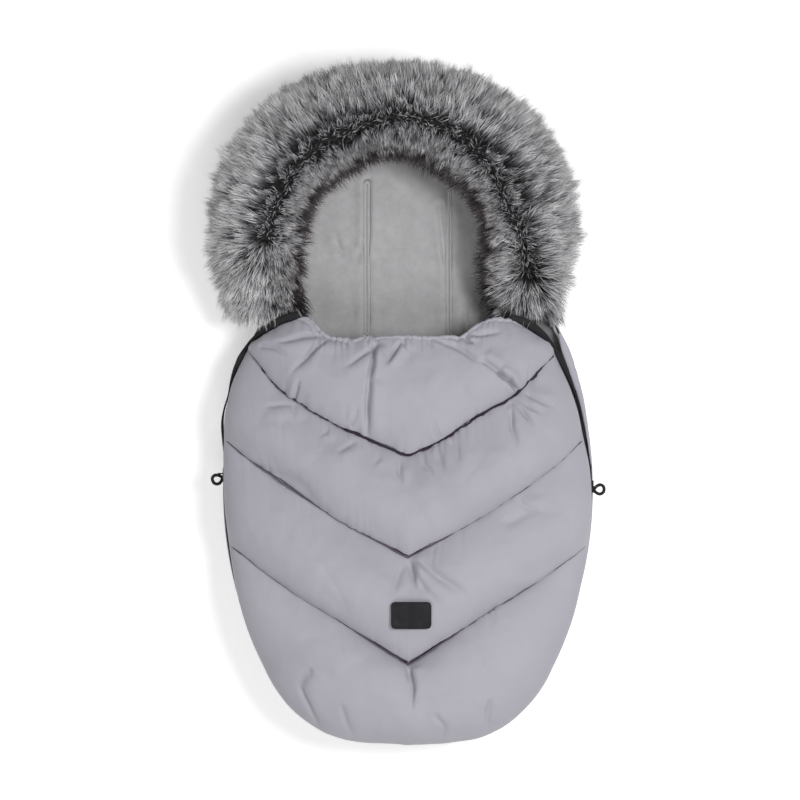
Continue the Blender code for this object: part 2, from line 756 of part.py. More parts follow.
def zip_line(side):
    """Stations of one zip from the toe to its top.

    Each has its plan point, the inward step there, its place along the zip, and how far the
    cover's chain stands off the back's: nothing below the slider, then a step up inside it.
    """
    sign = SIDES[side]
    points = [(sign * x, y) for x, y in OUTLINE[:ZIP_COUNT]]
    steps = [Vector((sign * step.x, step.y)) for step in INWARD[:ZIP_COUNT]]
    places = lengths_along(points)
    rest = SLIDER_REST_Y[side]
    k = max(n for n in range(ZIP_COUNT) if points[n][1] < rest)
    share = (rest - points[k][1]) / (points[k + 1][1] - points[k][1])
    middle = places[k] + share * (places[k + 1] - places[k])
    stations = [(points[n], steps[n], places[n], 0.0 if n <= k else ZIP_PARTING) for n in range(ZIP_COUNT)]
    for offset, parting in ((PARTING_START, 0.0), (PARTING_END, ZIP_PARTING)):
        place = middle + offset
        after = min(n for n in range(ZIP_COUNT) if places[n] > place)
        share = (place - places[after - 1]) / (places[after] - places[after - 1])
        point = Vector(points[after - 1]).lerp(Vector(points[after]), share)
        stations.append((tuple(point), steps[after - 1].lerp(steps[after], share), place, parting))
    return sorted(stations, key=lambda station: station[2])


def chain_edge(along):
    """Height of the toothed edge: a steady zigzag about the zip's middle."""
    turn = (along / TOOTH_PITCH) % 1.0
    return TOOTH_HEIGHT * (abs(2 * turn - 1) - 0.5)


def make_chain(side, half, finish):
    """One toothed strip: teeth up on the back's half, teeth down on the cover's half."""
    stations = zip_line(side)
    facing = 1.0 if half == "back" else -1.0
    lift = 0.0 if half == "back" else 1.0
    insets = (TAPE_INSET - CHAIN_THICKNESS / 2, TAPE_INSET + CHAIN_THICKNESS / 2)
    base = ZIP_Z - facing * (TOOTH_HEIGHT / 2 + CHAIN_BASE)
    shape = bmesh.new()

    def corners(k, share, height, toothed):
        """The two corners, outside and inside, at a share of the way past a station."""
        here, there = stations[k], stations[k + 1]
        parting = lift * (here[3] + (there[3] - here[3]) * share)
        along = here[2] + (there[2] - here[2]) * share
        z = height + parting + (chain_edge(along) if toothed else 0.0)
        pair = []
        for inset in insets:
            flat = (Vector(here[0]) + here[1] * inset).lerp(Vector(there[0]) + there[1] * inset, share)
            pair.append(shape.verts.new((flat.x, flat.y, z)))
        return pair

    tip_height = ZIP_Z - facing * TOOTH_GAP / 2
    first_pair = (corners(0, 0.0, tip_height, True), corners(0, 0.0, base, False))
    start_pair = first_pair
    for k in range(len(stations) - 1):
        start, stop = stations[k][2], stations[k + 1][2]
        lowest = math.floor(2 * start / TOOTH_PITCH) + 1
        turns = [n * TOOTH_PITCH / 2 for n in range(lowest, math.ceil(2 * stop / TOOTH_PITCH))]
        margin = TOOTH_PITCH / 20
        shares = [(turn - start) / (stop - start) for turn in turns if start + margin < turn < stop - margin]
        tips = [start_pair[0]] + [corners(k, share, tip_height, True) for share in shares + [1.0]]
        bases = [start_pair[1], corners(k, 1.0, base, False)]
        for n in (0, 1):
            shape.faces.new([bases[0][n], bases[1][n]] + [tip[n] for tip in reversed(tips)])
        for low, high in zip(tips, tips[1:]):
            shape.faces.new((low[0], high[0], high[1], low[1]))
        shape.faces.new((bases[0][0], bases[1][0], bases[1][1], bases[0][1]))
        start_pair = (tips[-1], bases[-1])
    for tip, bottom in (first_pair, start_pair):
        shape.faces.new((tip[0], tip[1], bottom[1], bottom[0]))
    add_object(f"zip_teeth_{half}_{side}", shape, finish)


def tape_strip(name, line, steps, low, high, finish):
    """An upright strip of tape along a plan line, between two lists of heights."""
    near, far = TAPE_INSET - TAPE / 2, TAPE_INSET + TAPE / 2
    loops = []
    for k, (x, y) in enumerate(line):
        corners = ((near, low[k]), (far, low[k]), (far, high[k]), (near, high[k]))
        loops.append([(x + steps[k].x * inset, y + steps[k].y * inset, z) for inset, z in corners])
    loft(name, loops, finish)


def make_tapes(finishes):
    back_low = BACK_RIM_Z - TAPE_IN_BACK
    back_high = ZIP_Z - TOOTH_HEIGHT / 2 - CHAIN_BASE - GAP
    cover_low = ZIP_Z + TOOTH_HEIGHT / 2 + CHAIN_BASE + GAP
    cover_high = COVER_EDGE_Z + TAPE_IN_COVER
    for side in SIDES:
        points, steps, _, partings = zip(*zip_line(side))
        count = len(points)
        lows, highs = [back_low] * count, [back_high] * count
        tape_strip(f"zip_tape_back_{side}", points, steps, lows, highs, finishes["tape"])
        lows, highs = [cover_low + parting for parting in partings], [cover_high] * count
        tape_strip(f"zip_tape_cover_{side}", points, steps, lows, highs, finishes["tape"])
        for half in ("back", "cover"):
            make_chain(side, half, finishes["teeth"])
    edge = [(-CORNER_X + GAP, TOE_Y), (CORNER_X - GAP, TOE_Y)]
    straight = [Vector((0.0, 1.0))] * 2
    middle_low, middle_high = ZIP_Z - GAP / 2, ZIP_Z + GAP / 2
    tape_strip("toe_tape_back", edge, straight, [back_low] * 2, [middle_low] * 2, finishes["tape"])
    tape_strip("toe_tape_cover", edge, straight, [middle_high] * 2, [cover_high] * 2, finishes["tape"])


def side_frame(side, y, inset, z):
    """A frame on the side arc: its X runs outwards, its Y along the zip, its Z up."""
    sign = SIDES[side]
    angle = math.asin((y - WIDEST_Y) / SIDE_RADIUS)
    reach = SIDE_RADIUS - inset
    centre = Vector((-sign * SIDE_CENTRE_X, WIDEST_Y, z))
    outwards = Vector((sign * math.cos(angle), math.sin(angle), 0.0))
    along = Vector((-sign * math.sin(angle), math.cos(angle), 0.0))
    frame = Matrix.Identity(4)
    frame.col[0][:3] = outwards
    frame.col[1][:3] = along
    frame.col[2][:3] = (0.0, 0.0, 1.0)
    frame.col[3][:3] = centre + outwards * reach
    return frame


def plate_outline():
    """A slider's plate seen from outside: broad shoulders at the top, a narrower heel."""
    half, high = SLIDER_LENGTH / 2, SLIDER_HEIGHT / 2
    heel = high * SLIDER_NOSE_SHARE
    bevel = SLIDER_PLATE
    return [
        (-half, -heel + bevel), (-half + bevel, -heel), (0.0, -high + bevel / 2), (half - bevel, -high),
        (half, -high + bevel), (half, high - bevel), (half - bevel, high), (0.0, high - bevel / 2),
        (-half + bevel, heel), (-half, heel - bevel),
    ]


def make_sliders(finishes):
    """Each slider is one casting: two plates, the post that parts the chains, and the bail."""
    half_chain = CHAIN_THICKNESS / 2 + SLIDER_CLEARANCE
    outside = half_chain + SLIDER_PLATE
    for side in SIDES:
        frame = side_frame(side, SLIDER_REST_Y[side], TAPE_INSET, ZIP_Z)

        def plate(name, low, high):
            loops = [[frame @ Vector((x, y, z)) for y, z in plate_outline()] for x in (low, high)]
            return loft(name, loops, finishes["metal"])

        slider = plate(f"zip_slider_{side}", half_chain, outside)
        join_by(slider, make_post(frame, outside - SLIDER_PLATE / 2, finishes["metal"]), "UNION")
        join_by(slider, plate("back_plate", -outside, -half_chain), "UNION")
        face = frame @ Matrix.Translation((outside, 0.0, 0.0))
        join_by(slider, make_bail(face, finishes["metal"]), "UNION")
        make_loop(side, face, finishes["cord"])


def make_post(frame, reach, finish):
    """The wedge between the parted chains, pointed towards the meshed teeth."""
    height = ZIP_PARTING - TOOTH_HEIGHT + TOOTH_GAP - 2 * GAP
    middle = ZIP_PARTING / 2
    head = SLIDER_LENGTH / 2 - POST_TIP
    heel = head - POST_LENGTH
    outline = [
        (heel, middle), (heel + POST_TIP, middle - height / 2), (head, middle - height / 2),
        (head, middle + height / 2), (heel + POST_TIP, middle + height / 2),
    ]
    return loft("post", [[frame @ Vector((x, y, z)) for y, z in outline] for x in (-reach, reach)], finish)


def make_bail(face, finish):
    """The arch on a slider's face that the cord loop goes round."""
    high = BAIL_OPENING / 2 + BAIL_LEG
    out = BAIL_REACH + BAIL_BAR / 2
    inner = BAIL_REACH - BAIL_BAR / 2
    root = SLIDER_PLATE / 2
    arch = [
        (-root, -high), (out - BAIL_LEG, -high), (out, -high + BAIL_LEG), (out, high - BAIL_LEG),
        (out - BAIL_LEG, high), (-root, high), (-root, high - BAIL_LEG), (inner, high - BAIL_LEG),
        (inner, -high + BAIL_LEG), (-root, -high + BAIL_LEG),
    ]
    half = BAIL_BAR / 2
    return loft("bail", [[face @ Vector((x, y, z)) for x, z in arch] for y in (-half, half)], finish)


def make_loop(side, face, finish):
    """A cord loop round the bail's bar, lying turned towards the foot.

    Its line is two arcs of unlike radius and the two runs that touch both.
    """
    lean = math.asin((LOOP_OUTER_RADIUS - LOOP_INNER_RADIUS) / LOOP_REACH)
    half_turn = math.pi / 2 + lean
    path = []
    for k in range(LOOP_STEPS):
        angle = half_turn * (2 * k / (LOOP_STEPS - 1) - 1)
        path.append((LOOP_REACH + LOOP_OUTER_RADIUS * math.cos(angle), LOOP_OUTER_RADIUS * math.sin(angle)))
    for k in range(LOOP_STEPS):
        angle = half_turn + (2 * math.pi - 2 * half_turn) * k / (LOOP_STEPS - 1)
        path.append((LOOP_INNER_RADIUS * math.cos(angle), LOOP_INNER_RADIUS * math.sin(angle)))
    turn = Matrix.Rotation(-math.radians(LOOP_REST_DEGREES[side]), 4, "Z")
    hung = face @ Matrix.Translation((BAIL_REACH, 0.0, 0.0)) @ turn
    placed = [hung @ Vector((x, y, 0.0)) for x, y in path]
    loft(f"pull_loop_{side}", tube_loops(placed, CORD_RADIUS, CORD_SIDES, closed=True), finish, closed=True)


def make_stops(finishes):
    """Stops clamped on the tape just past the last tooth of each chain."""
    near = TAPE_INSET - CHAIN_THICKNESS / 2 - STOP_WALL / 2
    far = TAPE_INSET + CHAIN_THICKNESS / 2 + STOP_WALL / 2
    for side in SIDES:
        stations = zip_line(side)
        top, inward_step = Vector(stations[-1][0]), stations[-1][1].normalized()
        along = (top - Vector(stations[-2][0])).normalized()
        for half in ("back", "cover"):
            facing = 1.0 if half == "back" else -1.0
            middle = ZIP_Z + (ZIP_PARTING if half == "cover" else 0.0)
            low = middle - facing * (TOOTH_HEIGHT / 2 + CHAIN_BASE)
            high = middle - facing * TOOTH_GAP
            loops = []
            for length in (GAP, GAP + STOP_LENGTH):
                corners = ((near, low), (far, low), (far, high), (near, high))
                flats = [(top + along * length + inward_step * inset, z) for inset, z in corners]
                loops.append([(flat.x, flat.y, z) for flat, z in flats])
            loft(f"zip_top_stop_{half}_{side}", loops, finishes["metal"])


# Hood rim, fur and snaps

def hood_line(start_y):
    """Indices of the outline round the hood, from the right start to the left start."""
    chosen = []
    for k, (_, y) in enumerate(OUTLINE):
        if y >= start_y and k >= ZIP_COUNT - 1 and k <= len(OUTLINE) - ZIP_COUNT:
            chosen.append(k)
    return chosen


def rim_loops(chosen, profile, end_shares=(), slant_share=0.0):
    """Sweeps a profile of inset and height over the rim along the hood.

    Its ends can be smaller, by shares from the tip inwards, and their tips can be slanted.
    """
    loops = []
    last = len(chosen) - 1
    for n, k in enumerate(chosen):
        x, y = OUTLINE[k]
        from_end = min(n, last - n)
        size = end_shares[from_end] if from_end < len(end_shares) else 1.0
        headwards = Vector((INWARD[k].y, -INWARD[k].x)) * (1.0 if n == 0 else -1.0)
        slant = slant_share if from_end == 0 else 0.0
        rim = rim_height(y)
        loop = []
        for inset, lift in profile(size):
            past_rim = max(0.0, inset - backing_span()[1] - FUR_BACKING - FUR_EASE)
            flat = Vector((x, y)) + INWARD[k] * inset + headwards * past_rim * slant
            loop.append((flat.x, flat.y, rim + lift))
        loops.append(loop)
    return loops


def rim_thickness():
    return SHELL + TAPE_SLOT + EDGE_PLUSH


def binding_profile(_):
    near, far = -GAP, rim_thickness() + RIM_EASE
    wall = RIM_BINDING
    low = -RIM_BINDING_DEPTH
    inner_low = -INNER_LEG_DEPTH
    return [
        (near - wall, low), (near - wall, wall + GAP), (far + wall, wall + GAP), (far + wall, inner_low),
        (far, inner_low), (far, GAP), (near, GAP), (near, low),
    ]


def backing_span():
    """Inner faces of the fur backing's two legs, as insets from the outline."""
    near = -GAP - RIM_BINDING - 2 * SNAP_THICKNESS - 3 * GAP
    far = rim_thickness() + RIM_EASE + RIM_BINDING + GAP
    return near, far


def backing_profile(_):
    near, far = backing_span()
    top = RIM_BINDING + 2 * GAP
    low = -FUR_BACKING_DEPTH
    inner_low = -INNER_LEG_DEPTH
    wall = FUR_BACKING
    return [
        (near - wall, low), (near - wall, top + wall), (far + wall, top + wall), (far + wall, inner_low),
        (far, inner_low), (far, top), (near, top), (near, low),
    ]


def fur_profile(size):
    """Outer lobe, parting above the rim and inner lobe, hollowed under for the backing.

    The tables give reach, height, and whether the height is a share of the crown or of the hang.
    """
    near, far = backing_span()
    near -= FUR_BACKING + FUR_EASE
    far += FUR_BACKING + FUR_EASE
    top = RIM_BINDING + 3 * GAP + FUR_BACKING
    out, back = FUR_OUTER_REACH * size, FUR_INNER_REACH * size
    crown, hang, inner_hang = FUR_CROWN * size, FUR_HANG * size, FUR_INNER_HANG * size
    parting = top + FUR_PARTING * size
    middle = (near + far) / 2
    outer = [(near - out * x, z * (crown if up else hang)) for x, z, up in FUR_OUTER_SHARES]
    inner = [(far + back * x, z * (crown if up else inner_hang)) for x, z, up in FUR_INNER_SHARES]
    return [(near, top), *outer, (middle, parting), *inner, (far, top)]


def make_hood(finishes):
    rim_line = hood_line(RIM_BINDING_START_Y)
    loft("hood_rim_binding", rim_loops(rim_line, binding_profile), finishes["binding"])
    loft("fur_backing", rim_loops(rim_line, backing_profile), finishes["backing"])
    fur = rim_loops(rim_line, fur_profile, FUR_END_SHARES, FUR_END_SLANT_SHARE)
    loft("fur_trim", fur, finishes["fur"], smooth_degrees=60.0)
    make_snaps(rim_line, finishes["metal"])


def make_snaps(fur_line, finish):
    """Snap studs on the hood's binding, and the sockets over them on the fur's backing."""
    last = len(fur_line) - 1
    for n in range(SNAP_COUNT):
        share = 0.5 + SNAP_SPREAD_SHARE * (n / (SNAP_COUNT - 1) - 0.5)
        k = fur_line[int(share * last)]
        here, there = Vector(OUTLINE[k]), Vector(OUTLINE[k + 1])
        middle = (here + there) / 2
        along = (there - here).normalized()
        outwards = Vector((along.y, -along.x))
        height = rim_height(middle.y) - RIM_BINDING_DEPTH / 2
        frame = Matrix.Identity(4)
        frame.col[0][:3] = (along.x, along.y, 0.0)
        frame.col[1][:3] = (0.0, 0.0, 1.0)
        frame.col[2][:3] = (outwards.x, outwards.y, 0.0)
        frame.col[3][:3] = (middle.x, middle.y, height)
        seat = GAP + RIM_BINDING + GAP
        flat = SNAP_THICKNESS * 0.5
        turned(f"fur_snap_stud_{n + 1}", frame, [
            (SNAP_RADIUS, seat), (SNAP_RADIUS, seat + flat),
            (SNAP_NUB_RADIUS, seat + flat), (SNAP_NUB_RADIUS, seat + SNAP_THICKNESS + flat),
        ], finish)
        bore = SNAP_NUB_RADIUS + GAP
        base = seat + flat + GAP
        rim = seat + 2 * SNAP_THICKNESS + GAP
        ring_solid(f"fur_snap_socket_{n + 1}", frame, SNAP_RADIUS, bore, base, rim, finish)


def turned(name, frame, profile, finish, sides=10):
    """A turned solid about the frame's Z, from its profile of radius and height."""
    loops = []
    for radius, height in profile:
        angles = [2 * math.pi * n / sides for n in range(sides)]
        loops.append([frame @ Vector((radius * math.cos(a), radius * math.sin(a), height)) for a in angles])
    return loft(name, loops, finish)


def ring_solid(name, frame, radius, bore, low, high, finish, sides=10):
    loops = []
    for r, z in ((radius, low), (radius, high), (bore, high), (bore, low)):
        angles = [2 * math.pi * n / sides for n in range(sides)]
        loops.append([frame @ Vector((r * math.cos(a), r * math.sin(a), z)) for a in angles])
    return loft(name, loops, finish, closed=True)


def make_finishes():
    return {
        "nylon": material("nylon", (0.42, 0.41, 0.46), 0.55),
        "plush": material("plush", (0.52, 0.51, 0.50), 0.95),
        "wadding": material("wadding", (0.85, 0.85, 0.84), 1.0),
        "rubber": material("rubber", (0.02, 0.02, 0.022), 0.7),
        "binding": material("binding", (0.36, 0.35, 0.38), 0.8),
        "backing": material("backing", (0.03, 0.028, 0.03), 0.9),
        "fur": material("fur", (0.32, 0.32, 0.33), 0.9),
        "tape": material("tape", (0.012, 0.012, 0.014), 0.8),
        "teeth": material("teeth", (0.015, 0.015, 0.017), 0.4),
        "metal": material("metal", (0.05, 0.05, 0.055), 0.35, 0.9),
        "cord": material("cord", (0.012, 0.012, 0.012), 0.8),
        "elastic": material("elastic", (0.7, 0.7, 0.7), 0.9),
    }


def main():
    clear_scene()
    finishes = make_finishes()
    make_tray(finishes)
    make_cover(finishes)
    make_tapes(finishes)
    make_sliders(finishes)
    make_stops(finishes)
    make_hood(finishes)


main()
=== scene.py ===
"""Looks of the stroller footmuff: quilted cover, plush lining, fur trim, zips, light and camera."""
import json
import math

import bmesh
import bpy
import numpy as np
from mathutils import Matrix, Vector


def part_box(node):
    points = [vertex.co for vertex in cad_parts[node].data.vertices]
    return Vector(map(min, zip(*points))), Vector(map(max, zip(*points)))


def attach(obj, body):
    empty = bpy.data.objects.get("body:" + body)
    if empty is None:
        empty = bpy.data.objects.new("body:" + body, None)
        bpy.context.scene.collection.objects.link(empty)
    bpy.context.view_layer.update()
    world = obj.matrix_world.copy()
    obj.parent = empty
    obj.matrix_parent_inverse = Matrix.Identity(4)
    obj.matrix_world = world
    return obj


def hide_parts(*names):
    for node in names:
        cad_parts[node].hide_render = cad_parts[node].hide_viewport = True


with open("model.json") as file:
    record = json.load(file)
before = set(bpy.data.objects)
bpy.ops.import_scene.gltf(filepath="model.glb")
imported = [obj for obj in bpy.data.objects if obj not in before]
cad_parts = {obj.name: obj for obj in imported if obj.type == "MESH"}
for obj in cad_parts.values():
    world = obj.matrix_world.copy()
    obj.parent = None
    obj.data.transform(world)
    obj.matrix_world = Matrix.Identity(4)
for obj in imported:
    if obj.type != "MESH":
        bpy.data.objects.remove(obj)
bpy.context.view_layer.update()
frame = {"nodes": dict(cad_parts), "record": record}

# Photograph: its scale at the zips' height, and the pixels that stand for the frame's origin
METRES_PER_PIXEL = 0.0013
ORIGIN_PIXEL = (408.0, 405.0)
PHOTO_PIXELS = 800

# Plan of the bag, as in the CAD
HALF_WIDTH = 0.2418
SIDE_RADIUS = 0.51974
WIDEST_Y = -0.110
TOE_Y = -0.429
CORNER_RADIUS = 0.1515
NECK_Y = 0.105
HOOD_HALF_WIDTH = 0.188
HOOD_SIDE_Y = 0.215
HOOD_TOP_Y = 0.402
HOOD_ROUNDNESS = 2.25
SIDE_CENTRE_X = SIDE_RADIUS - HALF_WIDTH
CORNER_Y = TOE_Y + CORNER_RADIUS
CORNER_X = math.sqrt((SIDE_RADIUS - CORNER_RADIUS) ** 2 - (CORNER_Y - WIDEST_Y) ** 2) - SIDE_CENTRE_X
JOIN_Y = WIDEST_Y + SIDE_RADIUS * (CORNER_Y - WIDEST_Y) / (SIDE_RADIUS - CORNER_RADIUS)

# Steps of the plan's stretches, from the toe round to the hood's top, as in the CAD
TOE_STEPS, CORNER_STEPS, SIDE_STEPS, NECK_STEPS, HOOD_STEPS = 5, 18, 55, 14, 34

# Layers and heights, as in the CAD
GAP = 0.0003
SHELL = 0.0016
BACK_FILL = 0.0140
PLUSH = 0.0050
EDGE_PLUSH = 0.0030
TAPE_SLOT = 0.0022
WALL_BEND = 0.075
UPRIGHT_DEGREES = 82.0
BACK_Z = 0.0013
ZIP_Z = 0.0660
BACK_RIM_Z = ZIP_Z - 0.0055
COVER_EDGE_Z = ZIP_Z + 0.0072
HOOD_RIM_Z = 0.1080
HOOD_RISE = (0.125, 0.240)
LINING_TOP = BACK_Z + SHELL + 2 * GAP + BACK_FILL + PLUSH

# Front cover
COVER_RISE = 0.048
TOE_RISE = 0.090
TOE_OVERHANG = 0.016
CHAMBER_SEAM = 0.0050
BULGE = 2.6
ROUND = 2.2
# The hem and the first seam across the cover, from the left edge to the right one
HEM_SHARES = (-1.0, -0.95, -0.88, -0.79, -0.70, -0.64, -0.575, -0.52, -0.40, -0.235, 0.0,
              0.22, 0.39, 0.46, 0.545, 0.67, 0.78, 0.88, 0.95, 1.0)
HEM_Y = (0.0800, 0.0890, 0.1010, 0.1090, 0.1120, 0.1050, 0.0935, 0.0860, 0.0830, 0.0855, 0.0870,
         0.0865, 0.0850, 0.0945, 0.1040, 0.1105, 0.1095, 0.1000, 0.0890, 0.0790)
SEAM_1_SHARES = (-1.0, -0.88, -0.757, -0.64, -0.422, -0.226, 0.0, 0.176, 0.418, 0.594, 0.693, 0.815, 1.0)
SEAM_1_Y = (0.0741, 0.0533, 0.0273, 0.0085, -0.0195, -0.0429, -0.0660, -0.0468, -0.0130, 0.0060, 0.0195,
            0.0403, 0.0676)
SHARE_EASE = 0.015
# How far the cover's edge lies inside the zip at places along the bag, or outside it if negative
EDGE_Y = (-0.250, -0.200, -0.1625, -0.1235, -0.078, -0.0416, -0.0195, 0.0065, 0.0325, 0.061, 0.077, 0.105)
LEFT_INSETS = (0.0015, 0.0030, 0.0033, 0.0034, 0.0000, -0.0030, -0.0060, -0.0052, -0.0060, -0.0020, 0.0007,
               0.0007)
RIGHT_INSETS = (0.0015, 0.0016, 0.0017, 0.0035, 0.0042, 0.0085, 0.0100, 0.0130, 0.0150, 0.0190, 0.0202,
                0.0202)
EDGE_EASE = 0.008
SEAM_ENDS_Y = (0.074, -0.044, -0.182)
SEAM_APEXES_Y = (-0.066, -0.196, -0.335)
SEAM_STRAIGHT = (0.62, 0.78, 0.80)
# Each chamber's fill above the dome, where down the chamber it is fullest, and the valley at a seam
PUFFS = (0.020, 0.025, 0.026, 0.026)
PEAKS = (1.18, 1.22, 1.22, 0.90)
FULLNESS = 0.66
SEAM_VALLEY = 0.0026


# Small helpers

def at_pixel(px, py):
    """Plan position of a pixel of the photograph."""
    return ((px - ORIGIN_PIXEL[0]) * METRES_PER_PIXEL, (ORIGIN_PIXEL[1] - py) * METRES_PER_PIXEL)


def smooth(value):
    value = np.clip(value, 0.0, 1.0)
    return value * value * (3.0 - 2.0 * value)


def hashed(i, j, seed):
    """Even noise in -1..1 for whole-number places."""
    n = (i.astype(np.int64) * 374761393 + j.astype(np.int64) * 668265263 + seed * 974634777) & 0x7FFFFFFF
    n = ((n ^ (n >> 13)) * 1274126177) & 0x7FFFFFFF
    return ((n ^ (n >> 16)) & 0xFFFF) / 32767.5 - 1.0


def noise(u, v, seed=0):
    """Smooth noise in about -1..1 over a plane."""
    i, j = np.floor(u), np.floor(v)
    fu, fv = smooth(u - i), smooth(v - j)
    a, b = hashed(i, j, seed), hashed(i + 1, j, seed)
    c, d = hashed(i, j + 1, seed), hashed(i + 1, j + 1, seed)
    return (a + (b - a) * fu) * (1 - fv) + (c + (d - c) * fu) * fv


def layered(u, v, seed=0):
    return noise(u, v, seed) + 0.5 * noise(2.1 * u + 7.3, 2.1 * v + 1.7, seed + 1)


def ridged(u, v, seed=0):
    """Noise with sharp crests, from 0 to 1."""
    return (1.0 - np.abs(noise(u, v, seed))) ** 3


def noise_along(u, seed):
    return noise(u, u * 0.0, seed)


def bell(value, width, middle=0.0):
    return np.exp(-((value - middle) / width) ** 2)


def unit(vectors):
    return vectors / np.maximum(np.linalg.norm(vectors, axis=-1, keepdims=True), 1e-12)


def way_along(points):
    """Lengths from the first point to each one."""
    return np.concatenate([[0.0], np.cumsum(np.linalg.norm(np.diff(points, axis=0), axis=1))])


def link(obj):
    bpy.context.scene.collection.objects.link(obj)
    return obj


def from_arrays(name, points, faces, finish=None):
    """A mesh piece, smooth and with its finish, or a plain cutter without one."""
    mesh = bpy.data.meshes.new(name)
    mesh.from_pydata(np.asarray(points).tolist(), [], faces)
    if finish:
        mesh.materials.append(finish)
        mesh.shade_smooth()
    return link(bpy.data.objects.new(name, mesh))


def ring_faces(rings, sides, closed=False):
    """Faces between rings of points that follow one another, and back to the first one if closed."""
    faces = []
    for i in range(rings if closed else rings - 1):
        here, there = i * sides, (i + 1) % rings * sides
        for k in range(sides):
            after = (k + 1) % sides
            faces.append((here + k, here + after, there + after, there + k))
    return faces


def grid_faces(rows, columns, start=0, flip=False):
    faces = []
    for i in range(rows - 1):
        for j in range(columns - 1):
            a = start + i * columns + j
            quad = (a, a + 1, a + columns + 1, a + columns)
            faces.append(quad[::-1] if flip else quad)
    return faces


def face_outwards(obj):
    shape = bmesh.new()
    shape.from_mesh(obj.data)
    bmesh.ops.recalc_face_normals(shape, faces=shape.faces)
    shape.to_mesh(obj.data)
    shape.free()
    return obj


def slab(name, upper, lower, finish):
    """A closed piece between two grids of points of one size, given as rows x columns x 3."""
    rows, columns = upper.shape[:2]
    count = rows * columns
    faces = grid_faces(rows, columns) + grid_faces(rows, columns, count, flip=True)
    rim = list(range(columns))
    rim += [i * columns + columns - 1 for i in range(1, rows)]
    rim += [(rows - 1) * columns + j for j in range(columns - 2, -1, -1)]
    rim += [i * columns for i in range(rows - 2, 0, -1)]
    for a, b in zip(rim, rim[1:] + rim[:1]):
        faces.append((a, b, b + count, a + count))
    points = np.concatenate([upper.reshape(-1, 3), lower.reshape(-1, 3)])
    return face_outwards(from_arrays(name, points, faces, finish))


def tube(name, path, radii, finish, sides=10, closed=False, flat=1.0):
    """A tube along points, with one radius or one for each point, and flatter than wide if asked."""
    path = np.asarray(path, dtype=float)
    count = len(path)
    radii = np.broadcast_to(np.asarray(radii, dtype=float), (count,))
    if closed:
        along = unit(np.roll(path, -1, axis=0) - np.roll(path, 1, axis=0))
    else:
        along = unit(np.gradient(path, axis=0))
    side = unit(np.cross(along, (0.0, 0.0, 1.0)))
    up = np.cross(side, along)
    turns = 2 * math.pi * np.arange(sides) / sides
    cos, sin = np.cos(turns)[None, :, None], np.sin(turns)[None, :, None]
    rings = path[:, None, :] + radii[:, None, None] * (cos * side[:, None, :] + flat * sin * up[:, None, :])
    faces = ring_faces(count, sides, closed)
    if not closed:
        faces.append(tuple(range(sides)))
        faces.append(tuple(range((count - 1) * sides, count * sides)))
    return face_outwards(from_arrays(name, rings.reshape(-1, 3), faces, finish))


def smooth_path(points, count, steps=24):
    """Even points on a smooth curve through a few places."""
    points = np.asarray(points, dtype=float)
    ends = np.vstack([2 * points[0] - points[1], points, 2 * points[-1] - points[-2]])
    fine = []
    for k in range(len(points) - 1):
        a, b, c, d = ends[k:k + 4]
        t = np.linspace(0.0, 1.0, steps, endpoint=False)[:, None]
        square, cube = 2 * a - 5 * b + 4 * c - d, 3 * b - a - 3 * c + d
        fine.append(0.5 * (2 * b + (c - a) * t + square * t ** 2 + cube * t ** 3))
    fine = np.vstack(fine + [points[-1:]])
    lengths = way_along(fine)
    even = np.linspace(0.0, lengths[-1], count)
    return np.column_stack([np.interp(even, lengths, fine[:, k]) for k in range(fine.shape[1])])


# Materials

class Nodes:
    """A short way to build one material's nodes."""

    def __init__(self, name):
        self.material = bpy.data.materials.new(name)
        self.material.use_nodes = True
        self.tree = self.material.node_tree
        self.shader = self.tree.nodes["Principled BSDF"]
        self.place = self.add("ShaderNodeTexCoord").outputs["Object"]

    def add(self, kind, inputs=None, **values):
        """Adds a node with its settings, and its inputs as values or links."""
        node = self.tree.nodes.new(kind)
        for key, value in values.items():
            setattr(node, key, value)
        for key, value in (inputs or {}).items():
            if isinstance(value, bpy.types.NodeSocket):
                self.tree.links.new(value, node.inputs[key])
            else:
                node.inputs[key].default_value = value
        return node

    def give(self, name, socket):
        self.tree.links.new(socket, self.shader.inputs[name])

    def set(self, **values):
        for key, value in values.items():
            self.shader.inputs[key.replace("_", " ")].default_value = value

    def noise(self, scale, detail=3.0, roughness=0.5):
        inputs = {"Scale": scale, "Detail": detail, "Roughness": roughness, "Vector": self.place}
        return self.add("ShaderNodeTexNoise", inputs).outputs["Fac"]

    def wave(self, scale, direction):
        inputs = {"Scale": scale, "Vector": self.place}
        return self.add("ShaderNodeTexWave", inputs, bands_direction=direction).outputs["Fac"]

    def math(self, operation, a, b):
        return self.add("ShaderNodeMath", {0: a, 1: b}, operation=operation).outputs[0]

    def ramp(self, factor, stops):
        node = self.add("ShaderNodeValToRGB", {"Fac": factor})
        ramp = node.color_ramp
        while len(ramp.elements) < len(stops):
            ramp.elements.new(0.5)
        for element, (place, colour) in zip(ramp.elements, stops):
            element.position = place
            element.color = (*colour, 1.0)
        return node.outputs["Color"]

    def colour(self, factor, stops):
        self.give("Base Color", self.ramp(factor, stops))

    def rough(self, factor, low, high):
        inputs = {"Value": factor, "To Min": low, "To Max": high}
        self.give("Roughness", self.add("ShaderNodeMapRange", inputs).outputs["Result"])

    def bumps(self, *layers):
        """Stacks bumps, each a height socket and its depth in metres."""
        below = {}
        for height, depth in layers:
            inputs = {"Strength": 1.0, "Distance": depth, "Height": height, **below}
            below = {"Normal": self.add("ShaderNodeBump", inputs).outputs["Normal"]}
        self.give("Normal", below["Normal"])


BLACK = (0.0, 0.0, 0.0)
RUBBED = (0.05, 0.05, 0.055)
WORN = (0.11, 0.11, 0.12)
